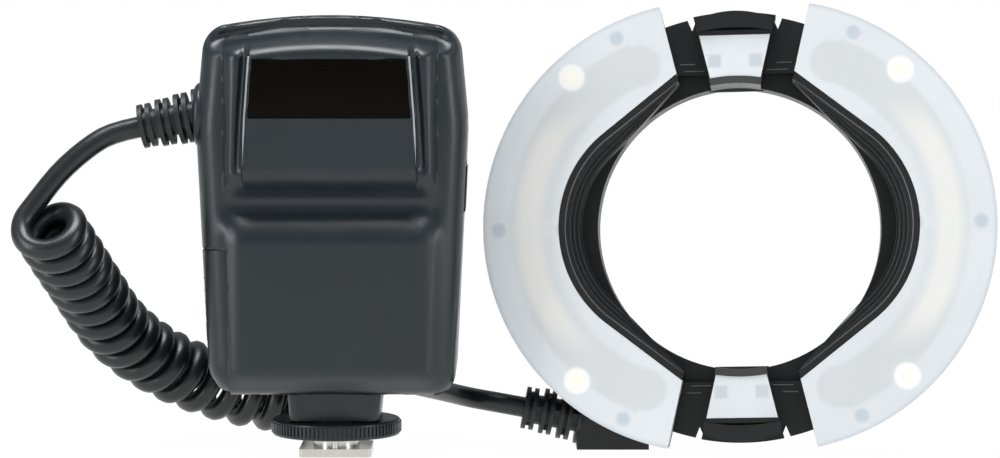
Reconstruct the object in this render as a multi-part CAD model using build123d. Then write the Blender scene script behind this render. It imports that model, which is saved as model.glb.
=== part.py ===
from build123d import *
import os
from math import acos, atan2, cos, degrees, pi, radians, sin, sqrt, tan

# Macro ring flash: an upright control unit on its accessory foot, and a ring head on a coiled cord.
# Frame: millimetres, +X to the ring head, +Y away from the viewer, +Z up.
# Origin: centre of the foot plate's bottom face, which is the surface that the unit stands on.

# Common clearances
cut_over = 1.0
slide_gap = 0.3
seat_gap = 0.1
running_gap = 0.06

# Control unit body
body_bottom = 17.5
body_top = 114.0
body_front = -25.0
body_back = 28.0
body_seam = 2.0
body_wall = 2.0
flank_bottom_half = 31.4
flank_top_half = 34.4
flank_bottom_z = 22.0
flank_top_z = 86.0
shoulder_half = 32.6
shoulder_z = 106.0
crown_half = 27.0
crown_z = 111.6
bottom_corner_half = 26.0
body_edge_round = 7.0
body_corner_round = 8.0
cap_seam_z = 107.0

# Head bulge and lower pad on the front shell
bulge_half = 26.5
bulge_front = -30.0
bulge_bottom = 68.5
bulge_round = 4.0
pad_half = 24.4
pad_front = -28.0
pad_bottom = 20.5
pad_top = 65.0
pad_round = 2.4
window_top_half = 19.1
window_bottom_half = 20.2
window_top_z = 102.6
window_bottom_z = 88.4
window_thickness = 1.6
window_proud = 0.1

# Battery door on the left flank: it slides down along the flank and lifts off
door_top_z = 54.5
door_front_x = 26.2
door_back_y = 12.0
grip_rib_round = 0.9
grip_rib_length = 13.0
grip_rib_count = 4
grip_rib_step = 3.1
grip_low_z = 37.4
grip_y = -4.0
latch_low_z = 30.6
latch_height = 4.4
latch_proud = 0.9
latch_stem_width = 2.4
latch_rim = 0.8
latch_travel = 2.0

# Socket cover on the right flank: it slides back in its groove
cover_low_z = 63.5
cover_high_z = 75.5
cover_front_y = -9.0
cover_back_y = 6.0
cover_travel = 12.0
cover_groove = 0.9
cover_proud = 0.5
nub_z = 60.2
nub_y = -2.0
nub_round = 1.3
nub_proud = 0.8
socket_round = 1.75
socket_spacing = 6.4
socket_depth = 6.0
socket_block_height = 8.0
socket_block_length = 13.0
socket_block_depth = 7.0

# Rear face: display, buttons and switch
pane_width = 40.0
pane_height = 25.0
pane_low_z = 76.0
pane_thickness = 1.2
module_thickness = 3.6
module_margin = 2.0
button_round = 3.4
button_proud = 1.2
button_flange = 1.0
button_flange_rim = 0.9
button_row_z = 64.0
button_column_x = 16.0
lower_row_z = 50.0
switch_width = 8.0
switch_height = 4.0
switch_travel = 5.0
switch_z = 36.0
switch_stem = 2.4
switch_rim = 1.2

# Inner pieces of the control unit
board_thickness = 1.6
board_half = 26.0
board_low_z = 30.0
board_high_z = 104.0
board_y = 17.5
board_clip_round = 2.2
cell_round = 7.0
cell_length = 49.0
cell_gap = 0.4
cell_nose_round = 2.6
cell_nose_length = 1.2
tray_wall = 1.2
tray_low_z = 20.2
tray_front_y = -20.0
tray_left_x = -24.0
contact_thickness = 0.4
capacitor_round = 8.5
capacitor_length = 34.0
capacitor_z = 84.0
capacitor_x = -6.0
transformer_width = 11.0
transformer_height = 12.0
transformer_depth = 10.0
transformer_x = 18.0
transformer_z = 84.0
case_screw_round = 1.3
case_screw_head_round = 2.4
case_screw_head = 1.6
case_screw_length = 12.0
case_screw_x = 24.0
case_screw_low_z = 26.0
case_screw_high_z = 100.0
screw_boss_wall = 1.5

# Cord hub on the left flank, and the two strain reliefs
cord_round = 2.7
hub_round = 8.3
hub_inner_x = 27.4
hub_outer_x = 35.0
hub_y = -14.0
hub_z = 88.6
hub_edge = 1.6
relief_tilt = 11.0
relief_core_round = 3.9
relief_disc = 1.15
relief_slot = 0.95
relief_gap = 1.55
relief_pairs = 3
relief_root = 1.0
relief_root_round = 6.9
relief_tip_round = 5.6
relief_web_width = 2.6
relief_length = relief_root + relief_pairs * (relief_gap + relief_slot + relief_disc * 2)

# Neck, locking wheel and foot
neck_half = 12.3
neck_taper = 0.7
neck_depth_half = 12.0
neck_bottom = 9.7
neck_round = 3.0
wheel_round = 17.0
wheel_bottom = 5.1
wheel_top = 9.3
wheel_band_bottom = 5.9
wheel_band_top = 8.5
wheel_ridges = 90
wheel_ridge_depth = 0.35
wheel_edge = 0.6
stem_round = 6.0
plate_width = 18.6
plate_depth = 18.0
plate_thickness = 2.1
plate_corner = 1.2
clamp_round = 14.0
clamp_thickness = 1.0
clamp_pocket = 1.3
lock_pin_round = 1.0
lock_pin_y = -7.2
pin_round = 0.8
main_pin_round = 1.3
pin_spacing = 3.1
pin_row_y = 2.7
pin_length = 1.2
pin_travel = 0.5
pin_recess = 0.1
insulator_round = 5.4

# Cord: coil axis and turns (the axis is a straight run down, one bend, and a straight run on the floor)
coil_round = 6.9
coil_start = (-71.6, -26.0, 61.8)
coil_corner = (-50.0, 34.9, 9.65)
coil_bend = 58.0
coil_turns = 16
coil_steps_per_turn = 2
coil_pitch = 5.95
coil_bend_pitch = 6.85
coil_start_angle = 129.0
coil_end_angle = 49.9
coil_stub = 5.4
cord_bend_share = 0.45
gap_samples = 10
cord_lead = 7.0
upper_route = [(-61.2, -16.0, 81.2)]
lower_route = [(-3.4, 53.0, 15.2), (4.4, 56.2, 13.9), (12.6, 55.3, 12.6), (19.2, 50.2, 12.0), (23.6, 41.0, 12.1),
               (29.0, 28.6, 12.5), (34.6, 17.0, 12.5)]

# Ring head: place and attitude
ring_x = 105.3
ring_y = 4.0
ring_z = 58.7
ring_turn = 5.5
ring_lean = 6.0
ring_roll = 1.5

# Ring head depths, measured along its own axis from the middle plane (front is negative)
front_y = -13.1
diffuser_back_y = -3.0
arm_front_y = -1.5
arm_back_y = 1.0
half_floor_y = 1.3
half_back_y = 2.8
frame_front_y = 3.1
frame_back_y = 13.1
bridge_front_y = -12.0

# Diffuser halves (drawn with the ring closed; at rest each is pulled out)
half_outer = 58.2
half_pull = 7.8
half_gap = 0.3
side_arc = 29.4
side_arc_x = 7.3
side_arc_span = 50.0
end_outer_half = 11.6
end_outer_z = 57.4
end_inner_half = 6.9
end_inner_z = 37.6
diffuser_wall = 1.5
inner_wall = 1.8
wall_step = 1.0
wall_steps = 4
wall_step_depth = 1.6
housing_wall = 1.5
end_wall = 1.6
slot_gap = 0.3

# Parts behind each diffuser (ring closed)
lamp_x = 34.5
lamp_z = 39.3
lamp_round = 3.6
lamp_height = 4.0
post_round = 2.2
post_x = 22.7
post_z = 49.2
outer_post_x = 54.0
half_screw_round = 1.1
half_screw_head_round = 2.0
half_screw_head = 0.9
half_screw_length = 9.0
trough_inner = 40.0
trough_outer = 48.4
trough_span = 70.0
trough_wall = 0.8
trough_depth = 5.5
trough_back_y = -2.6
tube_round = 1.9
tube_span = 66.0
clip_width = 4.0
clip_thickness = 1.2
clip_reach = 1.0

# Ring frame, bridges and buttons
bore_round = 37.16
frame_outer = 46.8
arm_outer = 56.0
arm_reach = 27.0
arm_short_reach = 19.8
arm_inner_z = 40.2
arm_shoulder_z = 46.4
notch_x = 11.2
notch_half = 1.3
notch_low_z = 51.8
window_outer_z = 49.4
window_plate = 1.3
window_inset = 0.25
window_lip = 1.1
window_lip_back_y = -3.0
lamp_square = 3.2
lamp_square_x = 5.3
lamp_square_z = 42.7
lamp_square_height = 1.6
lamp_board = 1.2
cap_half = 9.9
cap_outer_z = 55.6
cap_back_y = -6.5
cap_travel = 1.4
cap_wall = 1.3
cap_stem_width = 7.0
cap_stem_depth = 2.0
cap_arc = 24.0
claw_half = 7.0
claw_front_y = 5.4
claw_thickness = 1.4
claw_tip = 0.9
claw_length = 4.6
bridge_screw_round = 1.2
bridge_screw_head_round = 2.1
bridge_screw_head = 1.2
bridge_screw_x = 4.6
bridge_screw_z = 43.4

# Cable boss on the ring frame, in the part's own frame
boss_left_x = 63.0
boss_right_x = 82.0
boss_front_y = 5.6
boss_back_y = 19.5
boss_top_z = 17.0
ring_relief_y = 12.0
ring_relief_z = 7.7
ring_relief_tilt = 10.5


# Shared helpers

def place(x, y, z):
    """Location of a point."""
    return Location((x, y, z))


def slab(sketch, front, back):
    """Solid of an X-Z sketch between two depths along Y."""
    return extrude(Plane.XZ.offset(-back) * sketch, amount=back - front)


def block(x0, x1, y0, y1, z0, z1):
    """Box between two corners."""
    middle = place((x0 + x1) / 2, (y0 + y1) / 2, (z0 + z1) / 2)
    return middle * Box(x1 - x0, y1 - y0, z1 - z0)


def point_on(frame, x, y, z):
    """World place of a point that is given in a frame."""
    return tuple((frame * place(x, y, z)).position)


def rod(round_size, start, end):
    """Cylinder from one point to another."""
    axis = Vector(*end) - Vector(*start)
    base = Plane(origin=start, z_dir=axis)
    return extrude(base * Circle(round_size), amount=axis.length)


def group(pieces):
    """One node that holds several separate solids."""
    solids = [s for p in pieces for s in p.solids()]
    return Compound(children=solids) if len(solids) > 1 else solids[0]


def rounded(solid, edges, size):
    """Fillet, or the solid as it was where the edge list is empty."""
    return fillet(edges, size) if edges else solid


# Control unit body

def body_points(inset):
    """Front outline of the body, inset by a wall, from the bottom middle round to the right."""
    low = body_bottom + inset
    return [
        (-(bottom_corner_half - inset), low),
        (bottom_corner_half - inset, low),
        (flank_bottom_half - inset, flank_bottom_z + inset / 2),
        (flank_top_half - inset, flank_top_z),
        (shoulder_half - inset, shoulder_z - inset / 2),
        (crown_half - inset, crown_z - inset),
    ]


def body_outline(inset):
    """Closed outline: straight bottom and flanks, arched top."""
    right = body_points(inset)
    left = [(-x, z) for x, z in reversed(right[2:])]
    top = ThreePointArc(right[-1], (0, body_top - inset), left[0])
    sides = Polyline(*left, right[0], right[1], *right[2:])
    face = make_face(Wire([*sides.edges(), *top.edges()]))
    return fillet(face.vertices(), body_corner_round - inset)


def body_solid(inset):
    """Body block with rounded front and back edges."""
    solid = slab(body_outline(inset), body_front + inset, body_back - inset)
    front_edges = solid.faces().sort_by(Axis.Y)[0].edges()
    back_edges = solid.faces().sort_by(Axis.Y)[-1].edges()
    return fillet([*front_edges, *back_edges], body_edge_round - inset)


def bulge_block(inset):
    """Head bulge that stands out of the upper front."""
    half = bulge_half - inset
    solid = block(-half, half, bulge_front + inset, body_front + bulge_round * 2, bulge_bottom + inset,
                  crown_z - bulge_round / 2 - inset)
    front = solid.faces().sort_by(Axis.Y)[0].edges()
    return fillet([*front, *solid.edges().filter_by(Axis.Y)], bulge_round - inset)


def pad_block():
    """Raised lower front pad."""
    solid = block(-pad_half, pad_half, pad_front, body_front + pad_round * 2, pad_bottom, pad_top)
    front = solid.faces().sort_by(Axis.Y)[0].edges()
    return fillet([*front, *solid.edges().filter_by(Axis.Y)], pad_round)


def window_sketch(grow):
    """Trapezoid of the dark window."""
    return make_face(Polyline((-window_bottom_half - grow, window_bottom_z - grow),
                              (window_bottom_half + grow, window_bottom_z - grow),
                              (window_top_half + grow, window_top_z + grow),
                              (-window_top_half - grow, window_top_z + grow), close=True))


def sensor_window():
    """Gloss window, seated in its recess."""
    return slab(window_sketch(0), bulge_front - window_proud, bulge_front - window_proud + window_thickness)


flank_angle = degrees(atan2(flank_top_half - flank_bottom_half, flank_top_z - flank_bottom_z))


def flank_half(z):
    """Half width of the straight flank at a height."""
    share = (z - flank_bottom_z) / (flank_top_z - flank_bottom_z)
    return flank_bottom_half + share * (flank_top_half - flank_bottom_half)


def flank_frame(side, z):
    """Frame on a flank's face: its X points out of the body and its Z up along the flank."""
    tilt = flank_angle if side > 0 else -flank_angle
    turn = 0 if side > 0 else 180
    return place(side * flank_half(z), 0, z) * Rotation(0, tilt, 0) * Rotation(0, 0, turn)


def outer_shape():
    """Whole outside of the housing."""
    return body_solid(0) + bulge_block(0) + pad_block()


def inner_shape():
    """Room inside the housing."""
    return body_solid(body_wall) + bulge_block(body_wall)


# Battery door

def door_region(gap):
    """Room of the battery door: the left flank, the lower left edges and a strip of the front."""
    depth = flank_half(door_top_z) - door_front_x
    tall = door_top_z
    deep = body_back - body_front
    room = block(-depth - gap, depth, -door_back_y - gap, deep, -tall, gap)
    return flank_frame(-1, door_top_z) * room


def flank_slab(side, z_low, z_high, y_front, y_back, depth_in, depth_out):
    """Block on a flank, between two heights and two places along Y, from inside to outside."""
    y_values = sorted((side * y_front, side * y_back))
    tall = z_high - z_low
    return flank_frame(side, z_low) * block(-depth_in, depth_out, y_values[0], y_values[1], 0, tall)


def latch_slot(gap, back):
    """Slot of the latch stem in the door."""
    middle = latch_low_z + latch_height / 2
    half = latch_stem_width / 2 + gap
    front = grip_y - half
    return flank_slab(-1, middle - half, middle + half, front, grip_y + half + back, body_wall * 2, body_wall)


def battery_door(outer, inner):
    """Sliding battery door with its grip ribs."""
    door = (outer - inner) & door_region(0)
    for i in range(grip_rib_count):
        z = grip_low_z + i * grip_rib_step
        frame = flank_frame(-1, z)
        start = point_on(frame, 0, -grip_y - grip_rib_length / 2, 0)
        end = point_on(frame, 0, -grip_y + grip_rib_length / 2, 0)
        door += rod(grip_rib_round, start, end) - inner
    return door - latch_slot(slide_gap, latch_travel)


def door_latch():
    """Latch grip on the door with its stem and inner rim."""
    front = grip_y - grip_rib_length / 2
    back = grip_y + grip_rib_length / 2
    grip = flank_slab(-1, latch_low_z, latch_low_z + latch_height, front, back, -seat_gap, latch_proud)
    middle = latch_low_z + latch_height / 2
    half = latch_stem_width / 2
    stem = flank_slab(-1, middle - half, middle + half, grip_y - half, grip_y + half,
                      body_wall + slide_gap, latch_proud)
    rim = half + latch_rim
    foot = flank_slab(-1, middle - rim, middle + rim, grip_y - rim, grip_y + rim,
                      body_wall + slide_gap + latch_rim, -body_wall - slide_gap)
    return grip + stem + foot


# Socket cover

def cover_groove_cut():
    """Groove in the right flank that the cover slides in."""
    return flank_slab(1, cover_low_z - slide_gap, cover_high_z + slide_gap, cover_front_y - slide_gap,
                      cover_back_y + cover_travel + slide_gap, cover_groove, body_wall)


def socket_cover():
    """Sliding socket cover."""
    plate = flank_slab(1, cover_low_z, cover_high_z, cover_front_y, cover_back_y,
                       cover_groove - seat_gap, cover_proud)
    return rounded(plate, plate.edges().filter_by(Axis.Y), cover_proud)


def socket_frame():
    """Frame of the socket block behind the cover."""
    return flank_frame(1, (cover_low_z + cover_high_z) / 2) * place(0, (cover_front_y + cover_back_y) / 2, 0)


def socket_holes(size):
    """Two round holes side by side."""
    holes = []
    for y in (-socket_spacing / 2, socket_spacing / 2):
        holes.append(place(-socket_depth, y, 0) * Rotation(0, 90, 0) * Cylinder(
            size, socket_depth * 2, align=(Align.CENTER, Align.CENTER, Align.MIN)))
    return socket_frame() * (holes[0] + holes[1])


def port_sockets():
    """Socket block, seated against the inside of the flank."""
    inner = -body_wall - seat_gap
    body = block(inner - socket_block_depth, inner, -socket_block_length / 2, socket_block_length / 2,
                 -socket_block_height / 2, socket_block_height / 2)
    return socket_frame() * body - socket_holes(socket_round)


# Cord hub and strain reliefs

def hub_rod(size, start_x, end_x):
    """Cylinder on the hub's axis."""
    return rod(size, (-start_x, hub_y, hub_z), (-end_x, hub_y, hub_z))


def cord_hub():
    """Round cord hub with a rounded outer rim."""
    hub = hub_rod(hub_round, hub_inner_x, hub_outer_x)
    hub = fillet(hub.faces().sort_by(Axis.X)[0].edges(), hub_edge)
    return hub - relief_seat(unit_relief_frame)


def disc_at(start, thickness, size):
    """Disc on the Z axis."""
    return place(0, 0, start) * Cylinder(size, thickness, align=(Align.CENTER, Align.CENTER, Align.MIN))


def strain_relief():
    """Slotted strain relief on +Z: core, pairs of thin discs, and webs that alternate."""
    relief = disc_at(0, relief_length, relief_core_round)
    relief += disc_at(0, relief_root, relief_root_round)
    start = relief_root
    for i in range(relief_pairs):
        size = relief_root_round - (i + 1) * (relief_root_round - relief_tip_round) / relief_pairs
        long_web = block(-size + relief_disc, size - relief_disc, -relief_web_width / 2, relief_web_width / 2,
                         start, start + relief_gap)
        relief += Rotation(0, 0, 90) * long_web
        start += relief_gap
        relief += disc_at(start, relief_disc, size)
        start += relief_disc
        side_web = block(-size + relief_disc, size - relief_disc, -relief_web_width / 2,
                         relief_web_width / 2, start, start + relief_slot)
        relief += side_web
        start += relief_slot
        relief += disc_at(start, relief_disc, size)
        start += relief_disc
    return relief


def relief_frame(x, y, z, direction_x, tilt):
    """Frame at a relief's root with +Z along the relief, tilted from the X axis."""
    z_dir = (direction_x * cos(radians(tilt)), 0, sin(radians(tilt)))
    return Plane(origin=(x, y, z), x_dir=(0, 0, 1), z_dir=z_dir).location


def relief_seat(frame):
    """Socket that holds a relief's root disc."""
    return frame * disc_at(0, relief_length / 2, relief_root_round)


def sunk(tilt):
    """How far a tilted root disc is sunk so that its whole rim is held."""
    return relief_root_round * sin(radians(tilt))


unit_relief_frame = relief_frame(-hub_outer_x + sunk(relief_tilt), hub_y, hub_z, -1, -relief_tilt)
ring_relief_frame = relief_frame(boss_left_x + sunk(ring_relief_tilt), ring_relief_y, ring_relief_z, -1,
                                 ring_relief_tilt)


# Rear face

def rear_x_z():
    """Places of the five rear buttons: left, middle and right in one row, two below."""
    return {
        "mode_button": (-button_column_x, button_row_z),
        "set_button": (0, button_row_z),
        "test_button": (button_column_x, button_row_z),
        "minus_button": (-button_column_x / 2, lower_row_z),
        "plus_button": (button_column_x / 2, lower_row_z),
    }


def push_button(x, z):
    """Round rear button with a flange behind the wall."""
    stem = rod(button_round, (x, body_back - body_wall - slide_gap - button_flange, z),
               (x, body_back + button_proud, z))
    flange_back = body_back - body_wall - slide_gap
    flange = rod(button_round + button_flange_rim, (x, flange_back - button_flange, z), (x, flange_back, z))
    return fillet(stem.faces().sort_by(Axis.Y)[-1].edges(), button_proud / 2) + flange


def switch_block(half_x, half_z, y0, y1, shift):
    """Block on the power switch's place, lengthened to one side by a shift."""
    return block(-half_x, half_x + shift, y0, y1, switch_z - half_z, switch_z + half_z)


def power_switch():
    """Sliding power switch with a stem through the wall and a rim behind it."""
    behind = body_back - body_wall - slide_gap
    knob = switch_block(switch_width / 2, switch_height / 2, body_back + seat_gap, body_back + button_proud, 0)
    stem = switch_block(switch_stem / 2, switch_stem / 2, behind - switch_rim, body_back + button_proud, 0)
    rim = switch_stem / 2 + switch_rim
    return knob + stem + switch_block(rim, rim, behind - switch_rim, behind, 0)


def pane_block(margin, y0, y1):
    """Block on the display's place."""
    half = pane_width / 2 + margin
    return block(-half, half, y0, y1, pane_low_z - margin, pane_low_z + pane_height + margin)


def display_pane():
    """Clear pane of the display."""
    return pane_block(0, body_back - pane_thickness, body_back)


def display_module():
    """Display module behind the wall."""
    back = body_back - body_wall - seat_gap
    return pane_block(-seat_gap, back - module_thickness, back)


def rear_cuts():
    """Holes and recesses of the rear wall."""
    cuts = [pane_block(seat_gap, body_back - pane_thickness, body_back + cut_over),
            pane_block(-module_margin, body_back - body_wall * 2, body_back)]
    for x, z in rear_x_z().values():
        cuts.append(rod(button_round + slide_gap, (x, body_back - body_wall * 2, z),
                        (x, body_back + cut_over, z)))
    half = switch_stem / 2 + slide_gap
    cuts.append(switch_block(half, half, body_back - body_wall * 2, body_back + cut_over, switch_travel))
    return cuts


# Screws that hold the two shells together

def case_screw_places():
    """X and Z of the housing screws, driven from the back."""
    return [(x, z) for x in (-case_screw_x, case_screw_x) for z in (case_screw_low_z, case_screw_high_z)
            if x > 0 or z > door_top_z]


def case_screw(x, z):
    """Housing screw with its head in the rear face."""
    head_front = body_back - case_screw_head
    shank = rod(case_screw_round, (x, head_front - case_screw_length, z), (x, head_front, z))
    return shank + rod(case_screw_head_round, (x, head_front, z), (x, body_back, z))


def case_screws():
    """Housing screws."""
    return [case_screw(x, z) for x, z in case_screw_places()]


def screw_boss(x, z, inner):
    """Boss of a housing screw inside the rear shell."""
    size = case_screw_head_round + screw_boss_wall
    tube = rod(size, (x, body_back - case_screw_head - case_screw_length, z), (x, body_back - body_wall, z))
    return tube & inner


# Shells

def neck_block():
    """Tapered neck under the housing with the bore of the foot's stem."""
    low = Plane.XY.offset(neck_bottom) * RectangleRounded(
        (neck_half - neck_taper) * 2, (neck_depth_half - neck_taper) * 2, neck_round)
    high = Plane.XY.offset(body_bottom) * RectangleRounded(neck_half * 2, neck_depth_half * 2, neck_round)
    neck = loft([low, high])
    stem_room = rod(stem_round + seat_gap, (0, 0, neck_bottom), (0, 0, stem_top() + seat_gap))
    return neck - stem_room


def stem_top():
    """Top of the foot's stem inside the neck."""
    return (neck_bottom + body_bottom) / 2


def board_clips(inner):
    """Pads inside the rear shell that carry the main board."""
    pads = []
    for z in (board_low_z, board_high_z):
        for x in (-board_half, board_half):
            pads.append(rod(board_clip_round, (x, board_y + board_thickness, z), (x, body_back, z)) & inner)
    return pads


def shell_blank(outer, inner):
    """Housing wall with every opening cut, still in one piece."""
    wall = outer - inner
    wall -= door_region(slide_gap)
    pocket_wall = hub_rod(hub_round + body_wall, hub_inner_x - body_wall, hub_outer_x) & outer
    wall += pocket_wall
    wall -= hub_rod(hub_round + seat_gap, hub_inner_x, hub_outer_x + cut_over)
    wall -= cover_groove_cut()
    wall -= socket_holes(socket_round + slide_gap)
    window_room = slab(window_sketch(seat_gap), bulge_front - cut_over,
                       bulge_front - window_proud + window_thickness)
    return wall - window_room


def half_space(front, back, low, high):
    """Large block between two depths and two heights."""
    wide = flank_top_half * 2
    return block(-wide, wide, front, back, low, high)


def housing():
    """Front shell, rear shell, top cover and battery door of the control unit."""
    outer = outer_shape()
    inner = inner_shape()
    blank = shell_blank(outer, inner)
    front_far = bulge_front - cut_over
    back_far = body_back + cut_over
    front = blank & half_space(front_far, body_seam, 0, cap_seam_z)
    rear = blank & half_space(body_seam, back_far, 0, cap_seam_z)
    cover = blank & half_space(front_far, back_far, cap_seam_z, body_top + cut_over)
    nub_frame = flank_frame(1, nub_z)
    front += rod(nub_round, point_on(nub_frame, -body_wall, nub_y, 0), point_on(nub_frame, nub_proud, nub_y, 0))
    for x, z in case_screw_places():
        rear += screw_boss(x, z, inner)
    for pad in board_clips(inner):
        rear += pad
    for cut in rear_cuts():
        rear -= cut
    for screw in case_screws():
        rear -= screw
    return {"front_shell": front, "rear_shell": rear, "top_cover": cover,
            "battery_door": battery_door(outer, inner)}


# Inner pieces of the control unit

def cell_places():
    """X and Y of the four upright cells, in two rows of two."""
    step = cell_round * 2 + cell_gap
    first_x = tray_left_x + tray_wall + seat_gap + cell_round
    first_y = tray_front_y + tray_wall + seat_gap + cell_round
    return [(first_x + i * step, first_y + j * step) for i in range(2) for j in range(2)]


def battery_cells():
    """Four cells, alternately turned."""
    cells = []
    base = tray_low_z + tray_wall + seat_gap + contact_thickness + cell_nose_length
    for i, (x, y) in enumerate(cell_places()):
        can = rod(cell_round, (x, y, base), (x, y, base + cell_length))
        nose_z = base + cell_length if i % 2 else base - cell_nose_length
        cells.append(can + rod(cell_nose_round, (x, y, nose_z), (x, y, nose_z + cell_nose_length)))
    return cells


def battery_tray():
    """Open tray round the cells."""
    step = cell_round * 2 + cell_gap
    side = step * 2 - cell_gap + (seat_gap + tray_wall) * 2
    x0, y0 = tray_left_x, tray_front_y
    tall = cell_length / 2
    tray = block(x0, x0 + side, y0, y0 + side, tray_low_z, tray_low_z + tall)
    room = block(x0 + tray_wall, x0 + side - tray_wall, y0 + tray_wall, y0 + side - tray_wall,
                 tray_low_z + tray_wall, tray_low_z + tall + cut_over)
    return tray - room


def battery_contacts():
    """Two contact strips on the tray's floor."""
    z0 = tray_low_z + tray_wall
    places = cell_places()
    strips = []
    for x in (places[0][0], places[2][0]):
        strips.append(block(x - cell_nose_round, x + cell_nose_round, places[0][1] - cell_nose_round,
                            places[1][1] + cell_nose_round, z0, z0 + contact_thickness + seat_gap))
    return strips


def main_board():
    """Main circuit board on the clips of the rear shell, with holes for the screw bosses."""
    half = board_half + board_clip_round / 2
    board = block(-half, half, board_y, board_y + board_thickness, board_low_z - board_clip_round,
                  board_high_z + board_clip_round / 2)
    for x, z in case_screw_places():
        size = case_screw_head_round + screw_boss_wall + slide_gap
        board -= rod(size, (x, board_y - cut_over, z), (x, body_back, z))
    return board


def main_capacitor():
    """Flash capacitor, lying in front of the board."""
    x0 = capacitor_x - capacitor_length / 2
    y = board_y - seat_gap - capacitor_round
    can = rod(capacitor_round, (x0, y, capacitor_z), (x0 + capacitor_length, y, capacitor_z))
    return fillet(can.edges().filter_by(GeomType.CIRCLE), body_wall / 2)


def charge_transformer():
    """Charging transformer on the board."""
    half = transformer_width / 2
    return block(transformer_x - half, transformer_x + half, board_y - transformer_depth, board_y,
                 transformer_z - transformer_height / 2, transformer_z + transformer_height / 2)


# Foot

def lock_wheel():
    """Knurled locking wheel with a pocket for the clamp ring."""
    wheel = rod(wheel_round - wheel_ridge_depth, (0, 0, wheel_bottom), (0, 0, wheel_top))
    wheel = fillet(wheel.edges().filter_by(GeomType.CIRCLE), wheel_edge)
    ridge = block(0, wheel_round, -wheel_ridge_depth, wheel_ridge_depth, wheel_band_bottom, wheel_band_top)
    ridge -= rod(wheel_round - wheel_ridge_depth * 2, (0, 0, 0), (0, 0, wheel_top))
    turn = 360 / wheel_ridges
    wheel += [Rotation(0, 0, i * turn) * ridge for i in range(wheel_ridges)]
    wheel -= rod(stem_round + slide_gap, (0, 0, 0), (0, 0, wheel_top + cut_over))
    return wheel - rod(clamp_round + slide_gap, (0, 0, 0), (0, 0, wheel_bottom + clamp_pocket))


def clamp_ring():
    """Ring that the wheel presses down on the shoe, with its lock pin through the plate."""
    ring = rod(clamp_round, (0, 0, wheel_bottom), (0, 0, wheel_bottom + clamp_thickness))
    ring -= rod(stem_round + slide_gap, (0, 0, 0), (0, 0, wheel_top))
    return ring + rod(lock_pin_round, (0, lock_pin_y, pin_recess), (0, lock_pin_y, wheel_bottom))


def contact_places():
    """X, Y and radius of the foot's contacts: one large in the middle and four small."""
    small = [(x, y) for x in (-pin_spacing, pin_spacing) for y in (-pin_row_y, pin_row_y)]
    return [(0, 0, main_pin_round)] + [(x, y, pin_round) for x, y in small]


def contact_pins():
    """Sprung contacts, a little inside the plate's face."""
    return [rod(size, (x, y, pin_recess), (x, y, pin_recess + pin_length)) for x, y, size in contact_places()]


def contact_room(grow, top):
    """Holes of the contacts."""
    holes = [rod(size + grow, (x, y, -cut_over), (x, y, top)) for x, y, size in contact_places()]
    return holes


def pin_insulator():
    """Insulating disc round the contacts."""
    disc = rod(insulator_round - running_gap, (0, 0, 0), (0, 0, plate_thickness))
    return disc - contact_room(slide_gap, pin_recess + pin_length + pin_travel + slide_gap)


def foot_plate():
    """Accessory foot: plate, stem into the neck, and holes for pin, contacts and screws."""
    plate = Plane.XY * RectangleRounded(plate_width, plate_depth, plate_corner)
    foot = extrude(plate, amount=plate_thickness)
    foot += rod(stem_round, (0, 0, plate_thickness), (0, 0, stem_top()))
    foot -= rod(insulator_round, (0, 0, -cut_over), (0, 0, plate_thickness))
    foot -= rod(lock_pin_round + slide_gap, (0, lock_pin_y, -cut_over), (0, lock_pin_y, plate_thickness + cut_over))
    return foot


# Cord

def unit(v):
    """Unit vector."""
    return v / v.length


class CoilAxis:
    """Axis of the coil: straight, one bend, straight along +X."""

    def __init__(self):
        self.start = Vector(*coil_start)
        corner = Vector(*coil_corner)
        self.first = unit(corner - self.start)
        self.last = Vector(1, 0, 0)
        self.normal = unit(self.first.cross(self.last))
        self.angle = acos(self.first.dot(self.last))
        tangent = coil_bend * tan(self.angle / 2)
        self.run = (corner - self.start).length - tangent
        self.bend = coil_bend * self.angle
        inward = self.normal.cross(self.first)
        self.centre = self.start + self.first * self.run + inward * coil_bend
        self.out = inward * -1
        self.end = corner + self.last * tangent

    def frame(self, s):
        """Point and direction at a length along the axis."""
        if s <= self.run:
            return self.start + self.first * s, self.first
        if s >= self.run + self.bend:
            return self.end + self.last * (s - self.run - self.bend), self.last
        turn = (s - self.run) / coil_bend
        spoke = self.out * cos(turn) + self.first * sin(turn)
        return self.centre + spoke * coil_bend, self.first * cos(turn) - self.out * sin(turn)

    def pitch(self, s):
        """Pitch of the turns at a length along the axis."""
        return coil_bend_pitch if self.run - coil_pitch < s < self.run + self.bend else coil_pitch


def coil_table(axis):
    """Angles and lengths along the axis at each half turn."""
    total = 360 * coil_turns + coil_end_angle - coil_start_angle + 360
    steps = round(total / 360 * coil_steps_per_turn)
    step = total / steps
    table = [(coil_start_angle, 0.0)]
    for i in range(steps):
        angle, s = table[-1]
        table.append((angle + step, s + axis.pitch(s) * step / 360))
    return table


def coil_point(axis, table, place_in_table):
    """Point of the helix at a place in the table, between two entries."""
    low = min(max(int(place_in_table), 0), len(table) - 2)
    share = place_in_table - low
    angle = radians(table[low][0] + share * (table[low + 1][0] - table[low][0]))
    centre, along = axis.frame(table[low][1] + share * (table[low + 1][1] - table[low][1]))
    up = axis.normal * -1
    side = along.cross(up)
    return centre + (side * cos(angle) + up * sin(angle)) * coil_round


def coil_tangent(axis, table, i, small=0.01):
    """Direction of the helix at a table entry."""
    low = max(i - small, 0)
    high = min(i + small, len(table) - 1)
    return unit(coil_point(axis, table, high) - coil_point(axis, table, low))


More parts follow.
